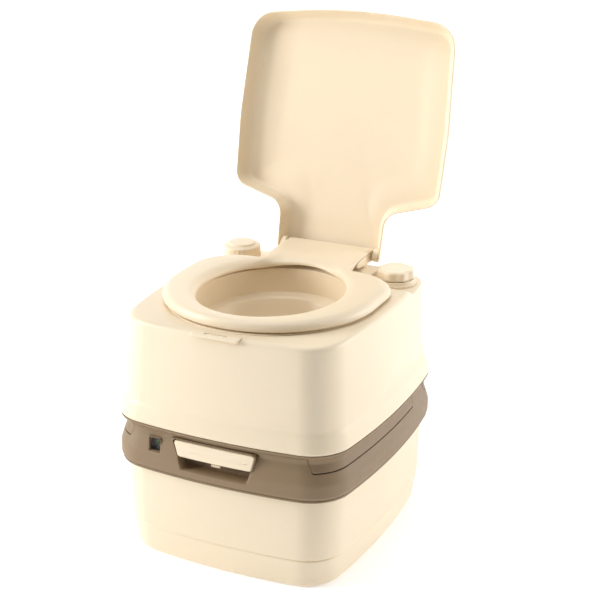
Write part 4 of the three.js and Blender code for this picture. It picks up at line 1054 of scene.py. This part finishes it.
# ---------------------------------------------------------------- front catch
# A small moulded pad at the deck's front edge has a slot for the lid's tongue and a notch
# near each end of the slot. It is clipped into the casing.
catch_low, catch_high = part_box("front_catch")
catch_half = catch_high.x - 0.5 * mm
slot_half = 17.6 * mm
slot_low = -198.8 * mm
slot_high = -194.6 * mm
x = crowded(-catch_half, catch_half, 40, [-slot_half, -14.4 * mm, 14.4 * mm, slot_half], 1.2 * mm)
y = crowded(catch_low.y + 0.8 * mm, catch_high.y - 0.6 * mm, 12, [slot_low, slot_high], 1 * mm)
x, y = np.meshgrid(x, y, indexing="ij")
notch = np.abs(np.abs(x) - 16 * mm) < 1.7 * mm
in_slot = (y > np.where(notch, slot_low - 2.4 * mm, slot_low)) & (y < slot_high)
in_slot &= np.abs(x) < slot_half
edge = np.minimum(catch_half - np.abs(x), np.minimum(y - y.min(), y.max() - y))
pad_rise = 0.9 * mm
slot_depth = 5 * mm
rise = pad_rise - pad_rise * (1 - smooth(edge, -0.2 * mm, 1.4 * mm)) - slot_depth * in_slot
front = smooth(catch_low.y + 4.2 * mm - y, 0, 3.2 * mm)
y = y + x**2 / (2 * front_radius)
top = np.stack([x, y, deck_height(y) + rise - 3.2 * mm * front], -1)
points, faces = skin(top, closed_ring=False)
piece(
    "catch_pad", (points, faces), cream, "flush_section", ["front_catch"],
    wall=1 * mm
)


# ---------------------------------------------------------------- pour-out spout
# The spout is an elbow of polyethylene tube that swivels in the rear bay. Its screw cap
# has grip ribs. It is turned out over the edge to empty the tank.
spout_axis = np.array(joints["spout_swivel"]["pos_m"])
spout_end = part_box("pour_spout")[1].x
spout_radius = 16 * mm
spout_height = joints["spout_cap_turn"]["pos_m"][2]
elbow_radius = 17 * mm
route = rounded(
    [(0, 152.6 * mm - spout_height, 0), (0, 0, elbow_radius),
    (spout_end - spout_axis[0] - 1 * mm, 0, 0)], arc_points=20
)


def tube(route, radius, count=48):
    """Circles round a route in the plane of x and z: each stands square to the run."""
    run = np.gradient(route, axis=0)
    run /= np.hypot(run[:, 0], run[:, 1])[:, None]
    turn = full_turn(count)
    radius = np.broadcast_to(radius, len(route))[:, None]
    across = radius * np.cos(turn)
    x = route[:, :1] + run[:, 1:] * across
    z = route[:, 1:] - run[:, :1] * across
    y = radius * np.sin(turn)
    return np.stack([x, np.broadcast_to(y, x.shape), z], -1)


spout_route = spaced(route, 60)
foot = smooth(spout_route[:, 1], 158.2 * mm - spout_height, 158.9 * mm - spout_height)
outer = tube(spout_route, spout_radius + 4 * mm * (1 - foot) * (spout_route[:, 0] < 1 * mm))
inner = tube(spout_route, spout_radius - 3 * mm)[::-1]
rings = np.concatenate([outer, inner]) + [spout_axis[0], spout_axis[1], spout_height]
inner_coat = moulded("inner_plastic", (0.80, 0.66, 0.47), 0.5, grain=0.3)
points, faces = skin(rings[::-1], closed_path=True)
piece("spout_elbow", (points, faces), inner_coat, "spout_body", ["pour_spout"])

cap_low, cap_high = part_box("spout_cap")
spout_cap_radius = (cap_high.z - cap_low.z) / 2
cap_inner_end = cap_high.x - 1.4 * mm
cap_shape = rounded(
    [(cap_low.x, 16.6 * mm, 0), (cap_low.x, spout_cap_radius - 0.2 * mm, 1.0 * mm),
    (cap_high.x - 0.5 * mm, spout_cap_radius - 0.2 * mm, 2.2 * mm), (cap_high.x, 13 * mm, 2 * mm),
    (cap_inner_end, 11 * mm, 1 * mm), (cap_inner_end, 2 * mm, 0)], arc_points=7
)
turn = full_turn(240)


def cap_ring(x, reach):
    """A ring about the spout's bore at a place along it."""
    y = spout_axis[1] + reach * np.cos(turn)
    return np.stack([np.full(len(turn), x), y, spout_height + reach * np.sin(turn)], 1)


rings = []
for x, radius in spaced(cap_shape, 46):
    ribbed = smooth(radius, 17.5 * mm, 19 * mm)
    ribbed *= 1 - smooth(x, cap_high.x - 4 * mm, cap_high.x - 2 * mm)
    reach = radius - 0.8 * mm * ribbed * (0.5 - 0.5 * np.cos(30 * turn)) ** 2
    rings.append(cap_ring(x, reach))
cap_back = (cap_low.x + 17 * mm, spout_axis[1], spout_height)
rings.insert(0, cap_ring(cap_back[0], 16.5 * mm))
end = (cap_inner_end, spout_axis[1], spout_height)
piece(
    "spout_screw_cap", skin(np.array(rings), start_pole=cap_back, end_pole=end), taupe,
    "spout_cap_body", ["spout_cap"]
)


# ---------------------------------------------------------------- level flag
# A green plate of ABS stands behind the window while the tank is empty. A white foot below
# it sits on the float's arm, and both swing with the arm.
flag_low, flag_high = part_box("level_flag")
flag_middle = (flag_low.x + flag_high.x) / 2
green = moulded("flag_green", (0.10, 0.42, 0.02), 0.4, grain=0.05)
white = moulded("flag_white", (0.86, 0.90, 0.84), 0.3, grain=0.05)


def flag_plate(name, low, high, coat, nodes):
    """A thin plate with round corners and edges that faces the window, between heights."""
    middle = (low + high) / 2
    rings = []
    for inset, depth in in_mm((3, 0), (0.8, 0), (0.2, 0.4), (0, 1.2), (0.4, 2.3)):
        loop = rounded_box_loop(5.9 * mm - inset, (high - low) / 2 - inset, 1.9 * mm, 48)
        rings.append(standing(loop, flag_middle, flag_low.y + 0.1 * mm + depth, middle))
    front = (flag_middle, flag_low.y + 0.1 * mm, middle)
    back = (flag_middle, flag_low.y + 2.4 * mm, middle)
    surface = skin(rings, start_pole=front, end_pole=back)
    piece(name, surface, coat, "level_body", nodes)


flag_plate("level_flag_top", 176.1 * mm, 184 * mm, green, ["level_flag"])
flag_plate("level_flag_foot", flag_low.z, 176 * mm, white, ())


# ---------------------------------------------------------------- window bezel
# A short tunnel, moulded with the collar, leads from its face to the clear pane. A dark
# plate behind the flag is painted shade: it stands for the shadow inside the tank.
# painted shade: a near-black coat that stands for the shadow inside the tank behind the flag
painted_shade_coat = moulded("window_shadow", (0.10, 0.07, 0.04), 0.6, grain=0.2)
tunnel_x = (window_left + window_right) / 2
tunnel_z = (window_floor + window_roof) / 2
tunnel = []
tunnel_half_x = (window_right - window_left) / 2 + 0.1 * mm
tunnel_half_z = (window_roof - window_floor) / 2 + 0.1 * mm
for depth in (-205 * mm, -203 * mm, -201 * mm, window_low.y - 0.4 * mm):
    loop = rounded_box_loop(tunnel_half_x, tunnel_half_z, 1 * mm)
    tunnel.append(standing(loop, tunnel_x, depth, tunnel_z)[::-1])
piece("window_tunnel", skin(tunnel), taupe, "waste_section", wall=-1 * mm)
# the plate behind the flag is painted shade, a dark sheet where the tank's inside lies in shadow
shade_plate_rings = []
shade_plate_front, shade_plate_back, shade_plate_z = -178 * mm, -176.8 * mm, 185.5 * mm
for half, depth in ((0.5, shade_plate_front), (1, shade_plate_front), (1, shade_plate_back), (0.5, shade_plate_back)):
    loop = rounded_box_loop(11 * mm * half, 13.5 * mm * half, 2 * mm * half)
    shade_plate_rings.append(standing(loop, tunnel_x, depth, shade_plate_z))
surface = skin(shade_plate_rings, (tunnel_x, shade_plate_front, shade_plate_z), (tunnel_x, shade_plate_back, shade_plate_z))
piece("window_ground", surface, painted_shade_coat, "waste_section")


# ---------------------------------------------------------------- flush nozzle
# The flush water reaches the bowl through a short polyethylene spigot. It is a push fit in
# the bowl's rear wall.
nozzle_low, nozzle_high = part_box("flush_nozzle")
nozzle_z = (nozzle_low.z + nozzle_high.z) / 2
nozzle_front = 103.4 * mm
nozzle_reach = 8.6 * mm
nozzle_length = nozzle_high.y - nozzle_front
nozzle_line = rounded(
    [(0, 0, 0), (nozzle_reach, 0, 1 * mm), (nozzle_reach, nozzle_length, 1 * mm),
    (0, nozzle_length, 0)], arc_points=5
)
turn = full_turn(48)
circle = np.stack([np.cos(turn), np.sin(turn)], 1)
rings = [
    standing(reach * circle, 0, nozzle_front + along, nozzle_z)
    for reach, along in nozzle_line[1:-1]
]
surface = skin(rings[::-1], (0, nozzle_high.y, nozzle_z), (0, nozzle_front, nozzle_z))
piece("flush_spigot", surface, inner_coat, "flush_section", ["flush_nozzle"])


# ---------------------------------------------------------------- carried-over parts
# The pieces inside and the small hardware keep their CAD shape. Each takes the finish
# of its own material: rubber for seals and buffers, steel for pins, spring and rod.
def rubber(name):
    """Moulded rubber: near black, matt, with a dusty mottle and a fine grain."""
    coat = moulded(name, (0.018, 0.017, 0.016), 0.72, grain=0.5, drift=0.3)
    fill(coat.node_tree.nodes["Principled BSDF"], IOR=1.52)
    return coat


def drawn_steel(name):
    """Bright drawn steel: fully metallic, with fine lines that stretch along the part."""
    coat, nodes, shader, join = finish_of(name)
    fill(shader, Metallic=1.0)
    place = nodes.new("ShaderNodeTexCoord")
    stretch = nodes.new("ShaderNodeMapping")
    fill(stretch, Scale=(0.05, 1, 1))
    lines = nodes.new("ShaderNodeTexNoise")
    fill(lines, Scale=2500, Detail=2)
    tone = nodes.new("ShaderNodeMix")
    tone.data_type = "RGBA"
    fill(tone, A=(0.50, 0.51, 0.53, 1), B=(0.66, 0.67, 0.69, 1))
    rough = nodes.new("ShaderNodeMapRange")
    fill(rough, To_Min=0.2, To_Max=0.38)
    join(place.outputs["Object"], stretch.inputs["Vector"])
    join(stretch.outputs["Vector"], lines.inputs["Vector"])
    join(lines.outputs["Fac"], tone.inputs["Factor"])
    join(lines.outputs["Fac"], rough.inputs["Value"])
    join(tone.outputs["Result"], shader.inputs["Base Color"])
    join(rough.outputs["Result"], shader.inputs["Roughness"])
    return coat


def clear_pane(name):
    """Clear moulded styrene: a glossy film that lets most light through, with a
    faint haze of fine scratches in its roughness."""
    coat, nodes, shader, join = finish_of(name)
    fill(shader, Base_Color=(0.93, 0.95, 0.93, 1), Alpha=0.05, IOR=1.5)
    place = nodes.new("ShaderNodeTexCoord")
    haze = nodes.new("ShaderNodeTexNoise")
    fill(haze, Scale=700)
    rough = nodes.new("ShaderNodeMapRange")
    fill(rough, To_Min=0.0, To_Max=0.06)
    join(place.outputs["Object"], haze.inputs["Vector"])
    join(haze.outputs["Fac"], rough.inputs["Value"])
    join(rough.outputs["Result"], shader.inputs["Roughness"])
    return coat


slot_coats = {
    "cream_plastic": cream,
    "inner_plastic": inner_coat,
    "band_plastic": taupe,
    "black_rubber": rubber("seal_rubber"),
    "green_plastic": green,
    "clear_plastic": clear_pane("window_pane"),
    "steel": drawn_steel("pin_steel"),
}
for part in frame["record"]["subparts"]:
    node = frame["nodes"][part["node"]]
    node.data.materials.clear()
    node.data.materials.append(slot_coats[part["material_slot"]])


# ---------------------------------------------------------------- studio
# A pale floor sweeps up into a backdrop that glows. A large soft light stands at the front
# left, a weaker one at the right and one overhead, and a pale sky fills the shadows.
floor_half_width = 9.0
floor_front = -6.0
glow_start = 0.7  # depth at which the brighter paper begins
bend_start = 3.0
bend_radius = 1.5
backdrop_top = 6.0


def sweep():
    """A strip of floor that turns up behind the object through a wide quarter round."""
    angle = np.linspace(0, math.pi / 2, 24)
    bend_y = bend_start + bend_radius * np.sin(angle)
    y = np.concatenate([[floor_front, glow_start], bend_y, [bend_start + bend_radius]])
    z = np.concatenate([[0, 0], bend_radius * (1 - np.cos(angle)), [backdrop_top]])
    left = np.stack([np.full(len(y), -floor_half_width), y, z], 1)
    right = left * [-1, 1, 1]
    count = len(y)
    index = np.arange(count - 1)
    faces = np.stack([index, index + count, index + count + 1, index + 1], 1).tolist()
    return np.concatenate([left, right]), faces


def paper(name, glow):
    """Matt white paper that glows by itself, so it stays white away from the lamps."""
    coat, _, shader, _ = finish_of(name)
    fill(shader, Base_Color=(0.92, 0.92, 0.92, 1), Roughness=0.9)
    fill(shader, Emission_Color=(1, 1, 1, 1), Emission_Strength=glow)
    return coat


points, faces = sweep()
floor_mesh = bpy.data.meshes.new("studio_floor")
floor_mesh.from_pydata(points, [], faces)
floor_mesh.shade_smooth()
floor = bpy.data.objects.new("studio_floor", floor_mesh)
bpy.context.scene.collection.objects.link(floor)
floor_mesh.materials.append(paper("studio_paper", 0.28))
floor_mesh.materials.append(paper("studio_backdrop", 0.75))
for polygon in list(floor_mesh.polygons)[1:]:
    polygon.material_index = 1

target = Vector((26.06, 12.37, 353.2)) * mm
azimuth = math.radians(25.434)
elevation = math.radians(19.102)
distance = 2.0429
back = Vector(
    (math.sin(azimuth) * math.cos(elevation), -math.cos(azimuth) * math.cos(elevation),
    math.sin(elevation))
)


aim = Vector((0, 0, 0.3))


def lamp(name, place, size, power):
    """A square white area light that faces the object."""
    light = bpy.data.lights.new(name, "AREA")
    light.size = size
    light.energy = power
    made = bpy.data.objects.new(name, light)
    made.location = place
    made.rotation_euler = (aim - Vector(place)).to_track_quat("-Z", "Y").to_euler()
    bpy.context.scene.collection.objects.link(made)


def studio_place(azimuth, elevation, reach):
    """A place around the object: azimuth from the front towards its right, in degrees."""
    turn, lift = math.radians(azimuth), math.radians(elevation)
    flat = reach * math.cos(lift)
    return (flat * math.sin(turn), -flat * math.cos(turn), aim.z + reach * math.sin(lift))


lamp("key_light", studio_place(-62, 17, 3.2), 1.3, 84)
lamp("side_light", studio_place(122, 17, 3.2), 1.3, 46)
lamp("top_light", studio_place(-20, 78, 2.6), 1.8, 32)
sky = bpy.data.worlds.new("studio_sky")
sky.use_nodes = True
fill(sky.node_tree.nodes["Background"], Color=(1, 1, 1, 1), Strength=0.20)
bpy.context.scene.world = sky
bpy.context.scene.view_settings.view_transform = "Standard"

camera_data = bpy.data.cameras.new("photo_camera")
camera_data.sensor_width = 36
focal_share = 1379.48 / 600  # focal length over the width of the view
camera_data.lens = focal_share * 36
camera_data.clip_end = 50
camera = bpy.data.objects.new("photo_camera", camera_data)
camera.location = target + back * distance
camera.rotation_euler = (-back).to_track_quat("-Z", "Y").to_euler()
camera.rotation_euler.rotate_axis("Z", 0.007)
bpy.context.scene.collection.objects.link(camera)
bpy.context.scene.camera = camera
